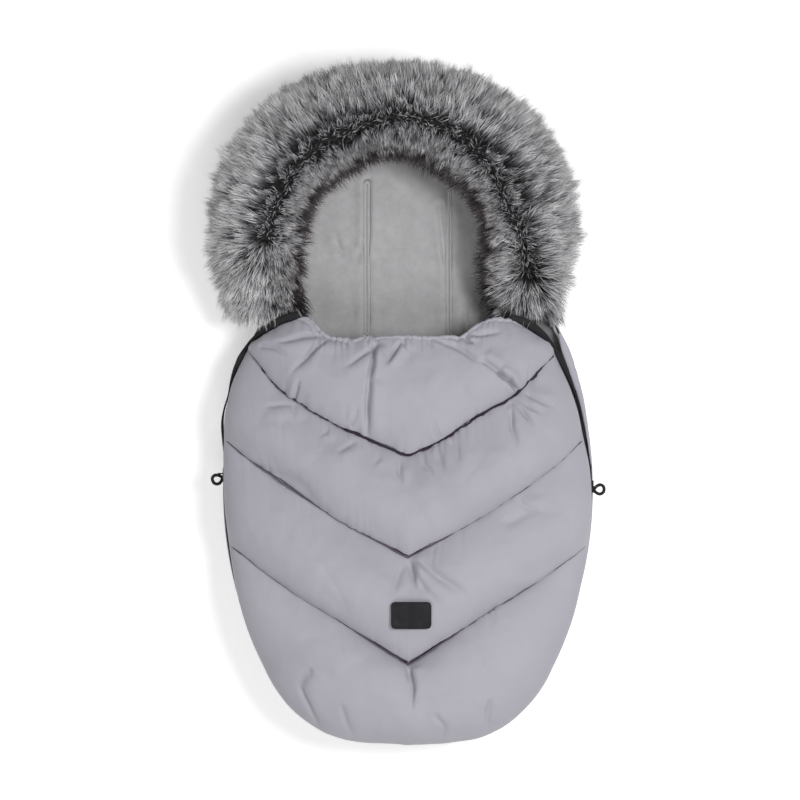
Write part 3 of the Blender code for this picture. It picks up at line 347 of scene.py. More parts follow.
# A lock's tone multiplies its hairs' colour: from dark locks over plain ones to the lightest
LOCK_TONES = ((0.0, (0.16, 0.16, 0.165)), (0.5, (0.93, 0.93, 0.93)), (1.0, (1.65, 1.64, 1.63)))


def mixed(low, high, share):
    return tuple(a + (b - a) * share for a, b in zip(low, high))


def nylon(name, colour, shade):
    """Fine woven nylon with a soft sheen."""
    n = Nodes(name)
    tone = n.noise(6.0, 4.0, 0.6)
    n.colour(tone, ((0.3, mixed(shade, colour, 0.45)), (0.7, colour)))
    weave = n.math("MULTIPLY", n.wave(520.0, "X"), n.wave(520.0, "Y"))
    n.rough(n.noise(40.0, 3.0), 0.50, 0.64)
    n.bumps((n.noise(55.0, 5.0, 0.55), 0.0006), (weave, 0.00012))
    n.set(Sheen_Weight=0.18, Sheen_Roughness=0.4, Specular_IOR_Level=0.35)
    return n.material


def plush(name, colour, dark, lump=70.0):
    """Short soft pile with a mottled nap."""
    n = Nodes(name)
    nap = n.noise(lump, 6.0, 0.7)
    n.colour(nap, ((0.25, dark), (0.75, colour)))
    n.set(Roughness=0.95, Sheen_Weight=0.5, Sheen_Roughness=0.6, Specular_IOR_Level=0.1)
    n.bumps((n.noise(26.0, 3.0, 0.5), 0.0016), (n.noise(420.0, 4.0, 0.8), 0.0008))
    return n.material


def woven(name, colour, scale=260.0, depth=0.0003):
    """Tape or binding with a visible rib."""
    n = Nodes(name)
    rib = n.math("MULTIPLY", n.wave(scale, "DIAGONAL"), n.wave(scale, "Z"))
    n.colour(rib, ((0.0, mixed(colour, BLACK, 0.35)), (0.6, colour)))
    n.rough(n.noise(200.0, 2.0), 0.75, 0.95)
    n.bumps((rib, depth))
    return n.material


def moulded(name, colour, roughness=0.55):
    """Silicone or plastic with a fine grain and rubbed spots."""
    n = Nodes(name)
    grain = n.noise(900.0, 2.0)
    rub = n.noise(60.0, 4.0, 0.65)
    n.colour(rub, ((0.35, colour), (0.8, mixed(colour, RUBBED, 0.4))))
    n.rough(rub, roughness - 0.08, roughness + 0.12)
    n.bumps((grain, 0.00008))
    n.set(Specular_IOR_Level=0.3)
    return n.material


def enamel(name, colour):
    """Black enamel with worn, brighter spots."""
    n = Nodes(name)
    wear = n.noise(320.0, 5.0, 0.7)
    n.colour(wear, ((0.55, colour), (0.78, WORN)))
    n.rough(wear, 0.25, 0.5)
    n.set(Metallic=0.75)
    n.bumps((n.noise(500.0, 2.0), 0.00004))
    return n.material


def braid(name, colour):
    n = Nodes(name)
    plait = n.math("MULTIPLY", n.wave(420.0, "DIAGONAL"), n.wave(560.0, "Y"))
    n.colour(plait, ((0.1, mixed(colour, BLACK, 0.5)), (0.7, colour)))
    n.rough(plait, 0.6, 0.85)
    n.bumps((plait, 0.0004))
    return n.material


def hair(name, stops):
    """Fur whose tone runs from root to tip, and varies from lock to lock, by its OFBake map."""
    n = Nodes(name)
    uv = n.add("ShaderNodeUVMap", uv_map="OFBake").outputs["UV"]
    split = n.add("ShaderNodeSeparateXYZ", {"Vector": uv}).outputs
    inputs = {"Factor": 1.0, 6: n.ramp(split["Y"], stops), 7: n.ramp(split["X"], LOCK_TONES)}
    n.give("Base Color", n.add("ShaderNodeMix", inputs, data_type="RGBA", blend_type="MULTIPLY").outputs[2])
    n.set(Roughness=0.7, Specular_IOR_Level=0.15, Sheen_Weight=0.1)
    return n.material


FUR_STOPS = ((0.0, (0.003, 0.003, 0.004)), (0.35, (0.009, 0.009, 0.010)), (0.54, (0.13, 0.13, 0.137)),
             (0.72, (0.46, 0.46, 0.47)), (0.90, (0.58, 0.58, 0.59)), (1.0, (0.38, 0.36, 0.37)))
INNER_STOPS = ((0.0, (0.003, 0.003, 0.004)), (0.34, (0.010, 0.010, 0.012)), (0.54, (0.20, 0.20, 0.21)),
               (0.70, (0.40, 0.40, 0.41)), (0.84, (0.16, 0.15, 0.155)), (1.0, (0.03, 0.026, 0.028)))
# Painted shade: the fringe's hairs are near black, lighter only at the tips, for the shadow under the fur's
# inner edge
FRINGE_SHADE_STOPS = ((0.0, (0.008, 0.006, 0.007)), (0.62, (0.016, 0.012, 0.014)), (0.84, (0.060, 0.050, 0.055)),
                (1.0, (0.20, 0.18, 0.19)))
DARK_STOPS = ((0.0, (0.005, 0.005, 0.006)), (0.6, (0.012, 0.012, 0.013)), (1.0, (0.030, 0.030, 0.032)))


FINISH_TABLE = {
    "nylon": (nylon, (0.425, 0.418, 0.468), (0.35, 0.342, 0.39)),
    "nylon_back": (nylon, (0.40, 0.39, 0.44), (0.32, 0.31, 0.36)),
    "plush": (plush, (0.50, 0.495, 0.505), (0.385, 0.38, 0.39)),
    "wadding": (plush, (0.85, 0.85, 0.84), (0.75, 0.75, 0.74)),
    "rubber": (moulded, (0.007, 0.007, 0.009), 0.75),
    "binding": (woven, (0.36, 0.35, 0.38)),
    "backing": (woven, (0.03, 0.028, 0.03)),
    "tape": (woven, (0.014, 0.013, 0.016)),
    "teeth": (moulded, (0.013, 0.013, 0.015), 0.35),
    "metal": (enamel, (0.02, 0.02, 0.022)),
    "cord": (braid, (0.014, 0.014, 0.015)),
    "elastic": (woven, (0.7, 0.7, 0.7)),
    # The seam lines' dark purple is the thread's colour with the valley's painted shade in it
    "seam": (woven, (0.034, 0.016, 0.040), 600.0, 0.0002),
    "fur": (hair, FUR_STOPS),
    "fur_inner": (hair, INNER_STOPS),
    # Painted shade: the fringe's dark colour stands for the shadow under the fur's inner edge
    "fur_fringe": (hair, FRINGE_SHADE_STOPS),
    "fur_dark": (hair, DARK_STOPS),
    "plush_lip": (plush, (0.50, 0.495, 0.50), (0.40, 0.395, 0.40)),
    # The lower seams' paler line: thread colour with the valley's painted shade in it
    "seam_light": (woven, (0.15, 0.115, 0.165), 600.0, 0.0002),
    "fur_skin": (plush, (0.016, 0.015, 0.017), (0.006, 0.006, 0.007), 120.0),
}
FINISHES = {name: make(name, *values) for name, (make, *values) in FINISH_TABLE.items()}


def dress_nodes():
    """Gives every CAD node that stays its finish, by the record's slots."""
    slots = {part["node"]: part["material_slot"] for part in frame["record"]["subparts"]}
    for name, obj in frame["nodes"].items():
        slot = slots[name]
        finish = FINISHES["fur_skin" if slot == "fur" else slot]
        for k in range(len(obj.material_slots)):
            obj.material_slots[k].material = finish
        if not obj.material_slots:
            obj.data.materials.append(finish)


def settle(obj, body, slot, *nodes):
    """Says which body a piece rides, and the CAD nodes that it replaces; its slot is not used."""
    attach(obj, body)
    if nodes:
        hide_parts(*nodes)


# Camera, floor and light

CAMERA_HEIGHT = 5.0
SENSOR = 36.0
SUBJECT_Z = 0.09
# How much brighter the floor looks to the camera than its shading alone
FLOOR_LIFT = 0.36
FLOOR_SIZE = 14.0
FLOOR_GAP = 0.0005
WHITE = (1.0, 1.0, 1.0, 1.0)
# The world's light on the object, and what the camera sees of it on top of that
WORLD_LIGHT = 0.33
WORLD_SEEN = 0.70
# Lamps: power, size, place and target
LAMPS = {
    "key": (36.0, 0.8, (0.95, 0.18, 2.4), (0.0, 0.0, 0.05)),
    "foot": (16.0, 1.2, (-0.35, -1.25, 2.1), (0.0, -0.05, 0.05)),
}


def make_camera():
    data = bpy.data.cameras.new("camera")
    data.sensor_width = SENSOR
    data.lens = SENSOR * (CAMERA_HEIGHT - SUBJECT_Z) / (PHOTO_PIXELS * METRES_PER_PIXEL)
    camera = link(bpy.data.objects.new("camera", data))
    x, y = at_pixel(PHOTO_PIXELS / 2, PHOTO_PIXELS / 2)
    camera.location = (x, y, CAMERA_HEIGHT)
    bpy.context.scene.camera = camera


def make_lamps():
    for name, (power, size, place, target) in LAMPS.items():
        data = bpy.data.lights.new(name, "AREA")
        data.energy = power
        data.shape = "DISK"
        data.size = size
        lamp = link(bpy.data.objects.new(name, data))
        lamp.location = place
        lamp.rotation_euler = (Vector(target) - Vector(place)).to_track_quat("-Z", "Y").to_euler()


def make_floor():
    bpy.ops.mesh.primitive_plane_add(size=FLOOR_SIZE, location=(0.0, 0.0, -FLOOR_GAP))
    floor = bpy.context.active_object
    floor.name = "floor"
    n = Nodes("floor")
    n.colour(n.noise(3.0, 2.0), ((0.0, (0.90, 0.90, 0.90)), (1.0, (0.93, 0.93, 0.93))))
    n.set(Roughness=0.9, Specular_IOR_Level=0.0, Emission_Color=WHITE)
    ray = n.add("ShaderNodeLightPath").outputs
    bent = n.math("MAXIMUM", ray["Is Glossy Ray"], ray["Is Transmission Ray"])
    seen = n.math("MAXIMUM", ray["Is Camera Ray"], bent)
    n.give("Emission Strength", n.math("MULTIPLY", seen, FLOOR_LIFT))
    floor.data.materials.append(n.material)


def make_world():
    world = bpy.data.worlds.new("world")
    world.use_nodes = True
    tree = world.node_tree
    background = tree.nodes["Background"].inputs
    background["Color"].default_value = WHITE
    ray = tree.nodes.new("ShaderNodeLightPath")
    strength = tree.nodes.new("ShaderNodeMath")
    strength.operation = "MULTIPLY_ADD"
    tree.links.new(ray.outputs["Is Camera Ray"], strength.inputs[0])
    strength.inputs[1].default_value = WORLD_SEEN
    strength.inputs[2].default_value = WORLD_LIGHT
    tree.links.new(strength.outputs["Value"], background["Strength"])
    bpy.context.scene.world = world
    bpy.context.scene.view_settings.view_transform = "Standard"


# Plan and surfaces of the bag

def half_width(y):
    y = np.asarray(y, dtype=float)
    toe = CORNER_X + np.sqrt(np.maximum(0.0, CORNER_RADIUS ** 2 - (y - CORNER_Y) ** 2))
    side = np.sqrt(SIDE_RADIUS ** 2 - (y - WIDEST_Y) ** 2) - SIDE_CENTRE_X
    return np.where(y < JOIN_Y, toe, side)


def eased(share, shares, values):
    """A line through measured places, rounded a little at each."""
    share = np.asarray(share, dtype=float)
    steps = [np.interp(share + k * SHARE_EASE, shares, values) for k in (-2, -1, 0, 1, 2)]
    return sum(steps) / len(steps)


def seam_y(seam, share):
    if seam == 0:
        return eased(share, SEAM_1_SHARES, SEAM_1_Y)
    away = np.abs(share)
    straight = SEAM_STRAIGHT[seam]
    end, apex = SEAM_ENDS_Y[seam], SEAM_APEXES_Y[seam]
    return apex + (end - apex) * (straight * away + (1 - straight) * away ** 2)


def hem_y(share):
    return eased(share, HEM_SHARES, HEM_Y)


def chamber_line(line, share):
    if line == 0:
        return hem_y(share)
    if line == 4:
        return np.full_like(share, TOE_Y)
    return seam_y(line - 1, share)


def side_inset(y, share):
    """How far the cover's edge stays inside the zip."""
    y, share = np.broadcast_arrays(y, share)
    left, right = [
        sum(np.interp(y + step, EDGE_Y, insets) for step in (-EDGE_EASE, 0.0, EDGE_EASE)) / 3
        for insets in (LEFT_INSETS, RIGHT_INSETS)
    ]
    turn = smooth(share / 0.4 + 0.5)
    return left * (1 - turn) + right * turn


def cover_points(share, y, depth):
    """Points of the cover's dome, at depths below its surface, or above it if negative."""
    toe_way = np.clip((y - TOE_Y) / TOE_RISE, 0.0, 1.0)
    height = (COVER_RISE - depth) * np.sqrt(1 - (1 - toe_way) ** 2)
    crown = (1 - np.abs(share) ** BULGE) ** (1 / ROUND)
    overhang = TOE_OVERHANG * np.sin(math.pi * np.sqrt(toe_way)) * (1 - np.abs(share) ** 6)
    x = share * (half_width(y) - side_inset(y, share) - depth)
    return np.stack([x, y + depth * (1 - toe_way) - overhang, COVER_EDGE_Z + height * crown], axis=-1)


def drawn_in(share, y):
    """How much the cover's layers may draw together: one inside, none at its edges."""
    toe_way = np.clip((y - TOE_Y) / TOE_RISE, 0.0, 1.0)
    return (1 - np.abs(share) ** 6) * (1 - (1 - toe_way) ** 6)


def normals_of(points):
    """Unit normals of a grid of points, turned upwards."""
    normal = unit(np.cross(np.gradient(points, axis=1), np.gradient(points, axis=0)))
    middle = normal[normal.shape[0] // 2, normal.shape[1] // 2]
    return normal if middle[2] > 0 else -normal


# Front cover

# How far the lower edge of each puff hangs over the seam below it
OVERLAP = 0.0036
CHAMBER_COLUMNS = 301
CHAMBER_ROWS = 111

MILLIMETRE = 0.001
# Heights of a chamber's wrinkles: broad and fine waves, folds aslant and folds across
BROAD_WAVE, FINE_WAVE, SLANT_FOLD, CROSS_FOLD = 0.0026, 0.0008, 0.0013, 0.0009
# The dome's length across is about this share of its width
ARC_SHARE = 1.15
# A puff is at least this thick
THINNEST_PUFF = 0.0004
# Puckers: their patches' length, the space between two, how they wander along and across, and a
# crest's length
PATCH = 0.055
PITCH, HEM_PITCH = 0.011, 0.0080
WANDER_ALONG, WANDER_ACROSS = 0.04, 0.03
CREST = 0.06
# How far they reach from the hem, down from a seam and up from one, and their depths there, less in
# each chamber farther down
HEM_REACH, DOWN_REACH, UP_REACH = 0.016, 0.026, 0.020
HEM_PUCKER, DOWN_PUCKER, UP_PUCKER, CALMER = 0.0050, 0.0030, 0.0026, 0.0006
# How wavy each seam's line is, and its radius
SEAM_THREADS = ((1.0, 0.0012), (0.6, 0.0009), (0.5, 0.0008))
# A seam line's long and short waves, its height over the valley's depth, and its shift to the toe and up
SEAM_WAVE, SEAM_RIPPLE = 0.0010, 0.0006
SEAM_LIFT = 0.0014
SEAM_TO_TOE, SEAM_UP = 0.0009, 0.0026
# The hem's roll: its radius, its depth below the dome, and the depth at which its gathers are spaced
HEM_RADIUS = 0.0034
HEM_DEPTH, HEM_SPACING_DEPTH = 0.0046, 0.0045
# The space between its gathers, how far it lies towards the head, how far a gather draws it to the
# toe and in, and its waves
GATHER_PITCH = 0.0085
HEM_TO_HEAD, DRAWN_TO_TOE, DRAWN_DEEPER, HEM_WAVE = 0.0012, 0.0026, 0.0012, 0.0012

# Creases seen in the photograph: the two ends in pixels, half-width and depth in millimetres
CREASES = {
    0: ((374, 347, 367, 385, 4.2, 6.0), (367, 385, 366, 436, 5.0, 5.0),
        (399, 344, 386, 367, 3.4, 4.4), (375, 347, 344, 366, 4.8, 2.6),
        (326, 336, 276, 345, 5.0, 3.4), (327, 337, 292, 376, 5.2, 3.6),
        (324, 337, 306, 356, 3.6, 2.6), (327, 334, 352, 343, 3.8, 3.0),
        (437, 341, 482, 362, 5.0, 3.2), (482, 362, 512, 386, 5.2, 3.4),
        (499, 374, 520, 392, 3.6, 4.8), (465, 337, 472, 346, 3.0, 5.0),
        (470, 338, 500, 330, 5.0, 2.6), (300, 318, 318, 335, 4.0, 4.0),
        (404, 338, 407, 352, 3.0, 2.8), (430, 338, 432, 348, 3.0, 2.4),
        (296, 397, 302, 380, 3.0, 2.4), (516, 389, 508, 372, 3.0, 3.0),
        (262, 345, 290, 352, 5.0, 2.2), (352, 424, 358, 408, 3.0, 2.0),
        (440, 436, 434, 420, 3.0, 2.0)),
    1: ((295, 402, 294, 417, 3.2, 3.6), (294, 402, 266, 409, 5.0, 2.4),
        (400, 457, 399, 482, 3.8, 3.6), (355, 440, 338, 454, 4.8, 2.2),
        (510, 404, 513, 446, 4.4, 3.2), (516, 396, 540, 412, 3.6, 3.4),
        (514, 400, 530, 424, 3.8, 3.4), (520, 390, 552, 407, 4.0, 2.8),
        (508, 403, 505, 414, 3.0, 4.0), (446, 438, 462, 462, 5.0, 1.8),
        (436, 444, 440, 470, 4.0, 2.2), (422, 452, 430, 474, 3.6, 2.2),
        (382, 448, 372, 466, 3.6, 1.8), (330, 424, 322, 438, 3.2, 2.0),
        (262, 470, 330, 505, 12.0, 1.4)),
    2: ((410, 558, 418, 586, 4.6, 5.6), (416, 560, 472, 592, 8.0, 3.0),
        (404, 560, 396, 596, 7.0, 2.2), (515, 497, 536, 512, 5.0, 2.6),
        (412, 562, 436, 606, 6.0, 2.2), (505, 520, 560, 505, 11.0, 1.6)),
    3: ((408, 667, 413, 706, 4.4, 4.0), (303, 688, 320, 730, 5.6, 2.0),
        (492, 700, 487, 730, 5.6, 2.0), (345, 704, 356, 736, 6.4, 1.3),
        (310, 668, 300, 690, 6.0, 2.0), (438, 712, 444, 740, 6.0, 1.8)),
}


def crease_depth(points, creases):
    """Lowers points near each crease, with a soft bank beside it."""
    total = np.zeros(points.shape[:2])
    x, y = points[..., 0], points[..., 1]
    for px, py, qx, qy, width, depth in creases:
        (ax, ay), (bx, by) = at_pixel(px, py), at_pixel(qx, qy)
        width, depth = width * MILLIMETRE, depth * MILLIMETRE
        length = math.hypot(bx - ax, by - ay)
        ux, uy = (bx - ax) / length, (by - ay) / length
        along = ((x - ax) * ux + (y - ay) * uy) / length
        off = (x - ax) * -uy + (y - ay) * ux
        fade = smooth((along + 0.15) / 0.2) * smooth((1.15 - along) / 0.7)
        wander = off + 0.8 * width * noise_along(along * 2.2, px + qy)
        total -= 1.7 * depth * fade * bell(wander, 0.62 * width)
        total += 0.9 * depth * fade * bell(wander, 1.7 * width, 2.1 * width)
    return total


def patchy(place, seed):
    """Shares from little to full, in patches along a seam."""
    return 0.35 + 0.65 * smooth(0.5 + 0.9 * noise_along(place / PATCH, seed))


def gathers(place, away, seed, reach, size, pitch=PITCH):
    """Short puckers that run out of a seam and fade."""
    wander = 0.25 * noise(place / WANDER_ALONG, away / WANDER_ACROSS, seed + 9)
    crests = ridged(place / pitch + wander, away / CREST, seed)
    return -size * patchy(place, seed + 5) * crests * np.exp(-(away / reach))


def chamber_relief(chamber, place, down, length, full):
    """Wrinkles of one chamber, as heights along its normals: broad, fine, aslant and gathered."""
    x, y = place[..., 0], place[..., 1]
    relief = BROAD_WAVE * layered(x * 12.0, y * 12.0, 21 + chamber)
    relief += FINE_WAVE * layered(x * 44.0, y * 44.0, 31 + chamber)
    slant = x * 0.8 + y * 0.6
    relief -= SLANT_FOLD * ridged(slant * 21.0, (y - x) * 9.0, 41 + chamber) * full
    relief -= CROSS_FOLD * ridged((x * 0.3 - y) * 17.0, (y * 0.3 + x) * 8.0, 45 + chamber) * full
    arc = x * ARC_SHARE + 5.0 * chamber
    if chamber == 0:
        relief += gathers(arc, down * length, 61, HEM_REACH, HEM_PUCKER, HEM_PITCH)
    else:
        relief += gathers(arc, down * length, 51 + chamber, DOWN_REACH, DOWN_PUCKER - CALMER * chamber)
    if chamber < 3:
        relief += gathers(arc, (1 - down) * length, 71 + chamber, UP_REACH, UP_PUCKER - CALMER * chamber)
    return relief


def make_chamber(chamber):
    t = np.linspace(-1.0, 1.0, CHAMBER_COLUMNS)
    d = 0.5 - 0.5 * np.cos(math.pi * np.linspace(0.0, 1.0, CHAMBER_ROWS))
    share, down = np.meshgrid(0.55 * t + 0.45 * np.sin(0.5 * math.pi * t), d)
    top, bottom = chamber_line(chamber, share), chamber_line(chamber + 1, share)
    y = top + (bottom - top) * down
    full = np.maximum(np.sin(math.pi * down ** PEAKS[chamber]), 0.0) ** FULLNESS
    if chamber < 3:
        full = full * (0.84 + 0.16 * smooth(down / 0.40))
    edge = 1 - np.abs(share) ** 20
    narrow = 1 - 0.35 * np.abs(share) ** 3
    soft = 1 + 0.12 * noise(share * 2.3 + 3.1 * chamber, down * 1.3, 11 + chamber)
    depth = SEAM_VALLEY * (1 - full) * edge - PUFFS[chamber] * full * edge * narrow * soft
    upper = cover_points(share, y, depth)
    normal = normals_of(upper)
    ends = edge * drawn_in(share * 0.985, y)
    relief = chamber_relief(chamber, upper, down, np.abs(top - bottom), full) * ends
    relief += crease_depth(upper, CREASES[chamber]) * smooth(full * 1.6 + 0.25 * (chamber == 0)) * edge
    upper = upper + normal * relief[..., None]
    if chamber < 3:
        lean = smooth((down - 0.70) / 0.24) * (1 - smooth((down - 0.965) / 0.035))
        upper[..., 1] -= OVERLAP * lean * (1 - np.abs(share) ** 8)
    drawn = drawn_in(share, y)
    lower = cover_points(share, y, CHAMBER_SEAM * drawn + SHELL * (1 - drawn))
    lower[..., 2] = np.minimum(lower[..., 2], upper[..., 2] - THINNEST_PUFF)
    piece = slab(f"quilt_{chamber + 1}", upper, lower, FINISHES["nylon"])
    replaced = [f"cover_panel_{chamber + 1}"] + ["cover_wadding"] * (chamber == 0)
    settle(piece, "cover", "nylon", *replaced)


def make_seams():
    """The dark line at the bottom of each valley: the sewn thread with the valley's painted shade in its
    colour, wavy and knotted where it gathers.
    """
    t = np.linspace(-0.985, 0.985, 421)
    away = 1 - np.abs(t) ** 8
    for seam, (strength, radius) in enumerate(SEAM_THREADS):
        wave = SEAM_WAVE * noise_along(t * 26.0, 81 + seam) + SEAM_RIPPLE * noise_along(t * 75.0, 84 + seam)
        path = cover_points(t, seam_y(seam, t) + wave * strength, np.full_like(t, SEAM_VALLEY - SEAM_LIFT))
        path[:, 1] -= SEAM_TO_TOE * away
        path[:, 2] += SEAM_UP * away
        knots = np.maximum(0.0, noise_along(t * 32.0, 87 + seam)) ** 2
        # The seam's colour holds both the thread and the valley's painted shade
        finish = FINISHES["seam_light" if seam else "seam"]
        piece = tube(f"seam_line_{seam + 1}", path, radius * (1 + 0.9 * knots * strength), finish, 6)
        settle(piece, "cover", "nylon")


def make_hem():
    """The cover's elastic edge: a flat roll, drawn into small gathers."""
    t = np.linspace(-0.80, 0.86, 521)
    y = hem_y(t)
    arc = cover_points(t, y, np.full_like(t, HEM_SPACING_DEPTH))[:, 0] * ARC_SHARE
    wander = 0.25 * noise_along(arc / WANDER_ALONG, 70)
    drawn = ridged(arc / GATHER_PITCH + wander, arc * 0.0, 61) * patchy(arc, 66)
    y = y + HEM_TO_HEAD - DRAWN_TO_TOE * drawn + HEM_WAVE * noise_along(arc / 0.03, 91)
    path = cover_points(t, y, HEM_DEPTH + DRAWN_DEEPER * drawn)
    ends = smooth((0.83 - np.abs(t - 0.03)) / 0.10)
    radii = HEM_RADIUS * (1 - 0.36 * drawn) * (1 + 0.10 * noise_along(arc / 0.02, 93))
    piece = tube("hem_roll", path, radii * (0.30 + 0.70 * ends), FINISHES["nylon"], 14, flat=0.8)
    settle(piece, "cover", "nylon", "cover_hem_casing", "cover_hem_elastic")


# Zip tape and a fold of fabric seen along the cover's edges: places in pixels, and widths in millimetres
BANDS = {
    "upper_left": ((299, 315, 9.5), (284, 319, 10.0), (271, 326, 10.0), (258, 336, 9.4), (248, 347, 8.6),
                   (240, 358, 7.4), (235, 369, 6.0), (231, 381, 3.8), (228, 395, 2.4), (224, 408, 2.4),
                   (222, 420, 3.4), (222, 432, 3.4), (223, 445, 2.6), (224, 460, 1.2)),
    "lower_left": ((226, 518, 1.0), (227, 528, 2.0), (228, 541, 3.0), (230, 550, 2.6), (231, 559, 0.8)),
    "upper_right": ((510, 318, 9.5), (525, 322, 10.5), (539, 332, 10.8), (552, 347, 10.4), (562, 361, 8.6),
                    (569, 376, 5.6), (576, 394, 3.2), (582, 415, 2.6), (585, 440, 2.6), (589, 462, 1.4)),
    "fold_right": ((560, 333, 4.0), (565, 347, 9.2), (571, 364, 9.8), (576, 380, 8.6), (581, 396, 6.6),
                   (585, 415, 5.0), (589, 440, 3.6), (592, 465, 2.0)),
}
BAND_THICKNESS = 0.0011
# A band's height over the cover's edge, its depth below the dome, where it starts to climb that and in
# what length, and its crown and ripple
BAND_LIFT, BAND_SUNK = 0.0016, 0.006
CLIMB_Y, CLIMB_LENGTH = 0.060, 0.020
BAND_CROWN, BAND_RIPPLE = 0.0010, 0.0004


def make_bands():
    """The black tape that shows at the cover's edges, wider towards the hood, and the fabric by it."""
    across = np.linspace(-1.0, 1.0, 5)
    for name, marks in BANDS.items():
        fabric = name.startswith("fold")
        rows = smooth_path([(*at_pixel(px, py), wide * MILLIMETRE) for px, py, wide in marks], 110)
        path, half = rows[:, :2], rows[:, 2:] / 2
        step = unit(np.gradient(path, axis=0))
        out = np.column_stack([-step[:, 1], step[:, 0]]) * (-1.0 if name.endswith("right") else 1.0)
        x, y = path[:, 0], path[:, 1]
        share = np.minimum(1.0, np.abs(x) / (half_width(y) - side_inset(y, np.sign(x))))
        dome = np.maximum(0.0, COVER_RISE * (1 - share ** BULGE) ** (1 / ROUND) - BAND_SUNK)
        climb = smooth((y - CLIMB_Y) / CLIMB_LENGTH) * (0.0 if fabric else 1.0)
        high = COVER_EDGE_Z + BAND_LIFT + dome * climb
        along = np.linspace(0.0, 1.0, len(path))
        half = half * (1 + 0.07 * noise_along(along * 22.0, 95))[:, None]
        upper = np.zeros((len(path), len(across), 3))
        upper[..., :2] = path[:, None, :] + out[:, None, :] * half[:, None, :] * across[None, :, None]
        upper[..., 2] = high[:, None] + BAND_CROWN * (1 - across[None, :] ** 2)
        upper[..., 2] += BAND_RIPPLE * noise_along(along * 30.0, 97)[:, None]
        slot = "nylon" if fabric else "tape"
        name = ("cover_" if fabric else "zip_tape_") + name
        piece = slab(name, upper, upper - (0.0, 0.0, BAND_THICKNESS), FINISHES[slot])
        settle(piece, "cover", slot)


# The cover's lining: the space over it, and its thickness, at its edges and how much more inside; its
# lumps, and how far short of the hem it ends
LINING_SPACE, WADDING_SPACE = 0.0007, 0.0070
LINING_EDGE, LINING_MORE = 0.0030, 0.0012
LINING_LUMPS = 0.0012
LINING_SHORT = 0.004


def make_cover_lining():
    t = np.linspace(-1.0, 1.0, 91)
    a = 0.5 * t + 0.5 * np.sin(0.5 * math.pi * t)
    shares, places = [], []
    for chamber in range(4):
        d = np.linspace(0.0, 1.0, 15 if chamber < 3 else 26)
        if chamber == 3:
            d = 1 - (1 - d) ** 1.6
        share, down = np.meshgrid(a, d if chamber == 0 else d[1:])
        top, bottom = chamber_line(chamber, share), chamber_line(chamber + 1, share)
        shares.append(share)
        places.append(top + (bottom - top) * down)
    share, y = np.concatenate(shares), np.concatenate(places)
    drawn = drawn_in(share, y)
    depth = SHELL + (CHAMBER_SEAM - SHELL) * drawn + LINING_SPACE + WADDING_SPACE * drawn
    lumps = LINING_LUMPS * layered(share * 6.0, y * 26.0, 101)
    upper = cover_points(share, y, depth)
    lower = cover_points(share, y, depth + LINING_EDGE + drawn * (LINING_MORE + lumps))
    for grid in (upper, lower):
        grid[..., 1] -= LINING_SHORT * (y > 0.0)
    piece = slab("cover_plush", upper, lower, FINISHES["plush"])
    settle(piece, "cover", "plush", "cover_lining")


# Back

def fine_outline():
    """The tray's plan with even points, anticlockwise from the middle of the toe."""
    right = [(CORNER_X * k / TOE_STEPS, TOE_Y) for k in range(TOE_STEPS)]
    join_angle = math.atan2(JOIN_Y - CORNER_Y, float(half_width(JOIN_Y)) - CORNER_X)
    for k in range(CORNER_STEPS + 1):
        angle = -math.pi / 2 + (join_angle + math.pi / 2) * k / CORNER_STEPS
        right.append((CORNER_X + CORNER_RADIUS * math.cos(angle), CORNER_Y + CORNER_RADIUS * math.sin(angle)))
    for y in np.linspace(JOIN_Y, NECK_Y, SIDE_STEPS + 1)[1:]:
        right.append((float(half_width(y)), float(y)))
    neck_x = right[-1][0]
    slope = (WIDEST_Y - NECK_Y) / (neck_x + SIDE_CENTRE_X)
    rise = HOOD_SIDE_Y - NECK_Y
    for k in range(1, NECK_STEPS + 1):
        t = k / NECK_STEPS
        ends = neck_x * (2 * t ** 3 - 3 * t ** 2 + 1) + HOOD_HALF_WIDTH * (3 * t ** 2 - 2 * t ** 3)
        right.append((ends + slope * rise * (t ** 3 - 2 * t ** 2 + t), NECK_Y + rise * t))
    for k in range(1, HOOD_STEPS):
        angle = math.radians(90.0 * k / HOOD_STEPS)
        x = HOOD_HALF_WIDTH * math.cos(angle) ** (2 / HOOD_ROUNDNESS)
        y = HOOD_SIDE_Y + (HOOD_TOP_Y - HOOD_SIDE_Y) * math.sin(angle) ** (2 / HOOD_ROUNDNESS)
        right.append((x, y))
    left = [(-x, y) for x, y in right[:0:-1]]
    return np.array(right + [(0.0, HOOD_TOP_Y)] + left)


def inward_of(points):
    """Unit inward steps of a closed anticlockwise line."""
    along = unit(np.roll(points, -1, axis=0) - np.roll(points, 1, axis=0))
    return np.stack([-along[:, 1], along[:, 0]], axis=1)


def rim_height(y):
    return BACK_RIM_Z + (HOOD_RIM_Z - BACK_RIM_Z) * smooth((y - HOOD_RISE[0]) / (HOOD_RISE[1] - HOOD_RISE[0]))


OUTLINE = fine_outline()
INWARD = inward_of(OUTLINE)
# Places up the tray's wall, as angles of its quarter turn
RING_DEGREES = (0.0, 8.0, 16.0, 24.0, 32.0, 40.0, 48.0, 56.0, 63.0, 70.0, 76.0, 82.0, 86.0, 90.0)
SHELL_WRINKLE = 0.0022
LINING_WRINKLE = 0.0034
# How far the wall bulges, and how far below the origin that starts to fade
WALL_BULGE, BULGE_FADE = 0.0018, 0.10
# Heights of the lining's broad and fine unevenness
LINING_BROAD, LINING_FINE = 0.0013, 0.0004
# The ends of the line on which the lining's floor closes
SPINE_Y = (-0.30, 0.22)


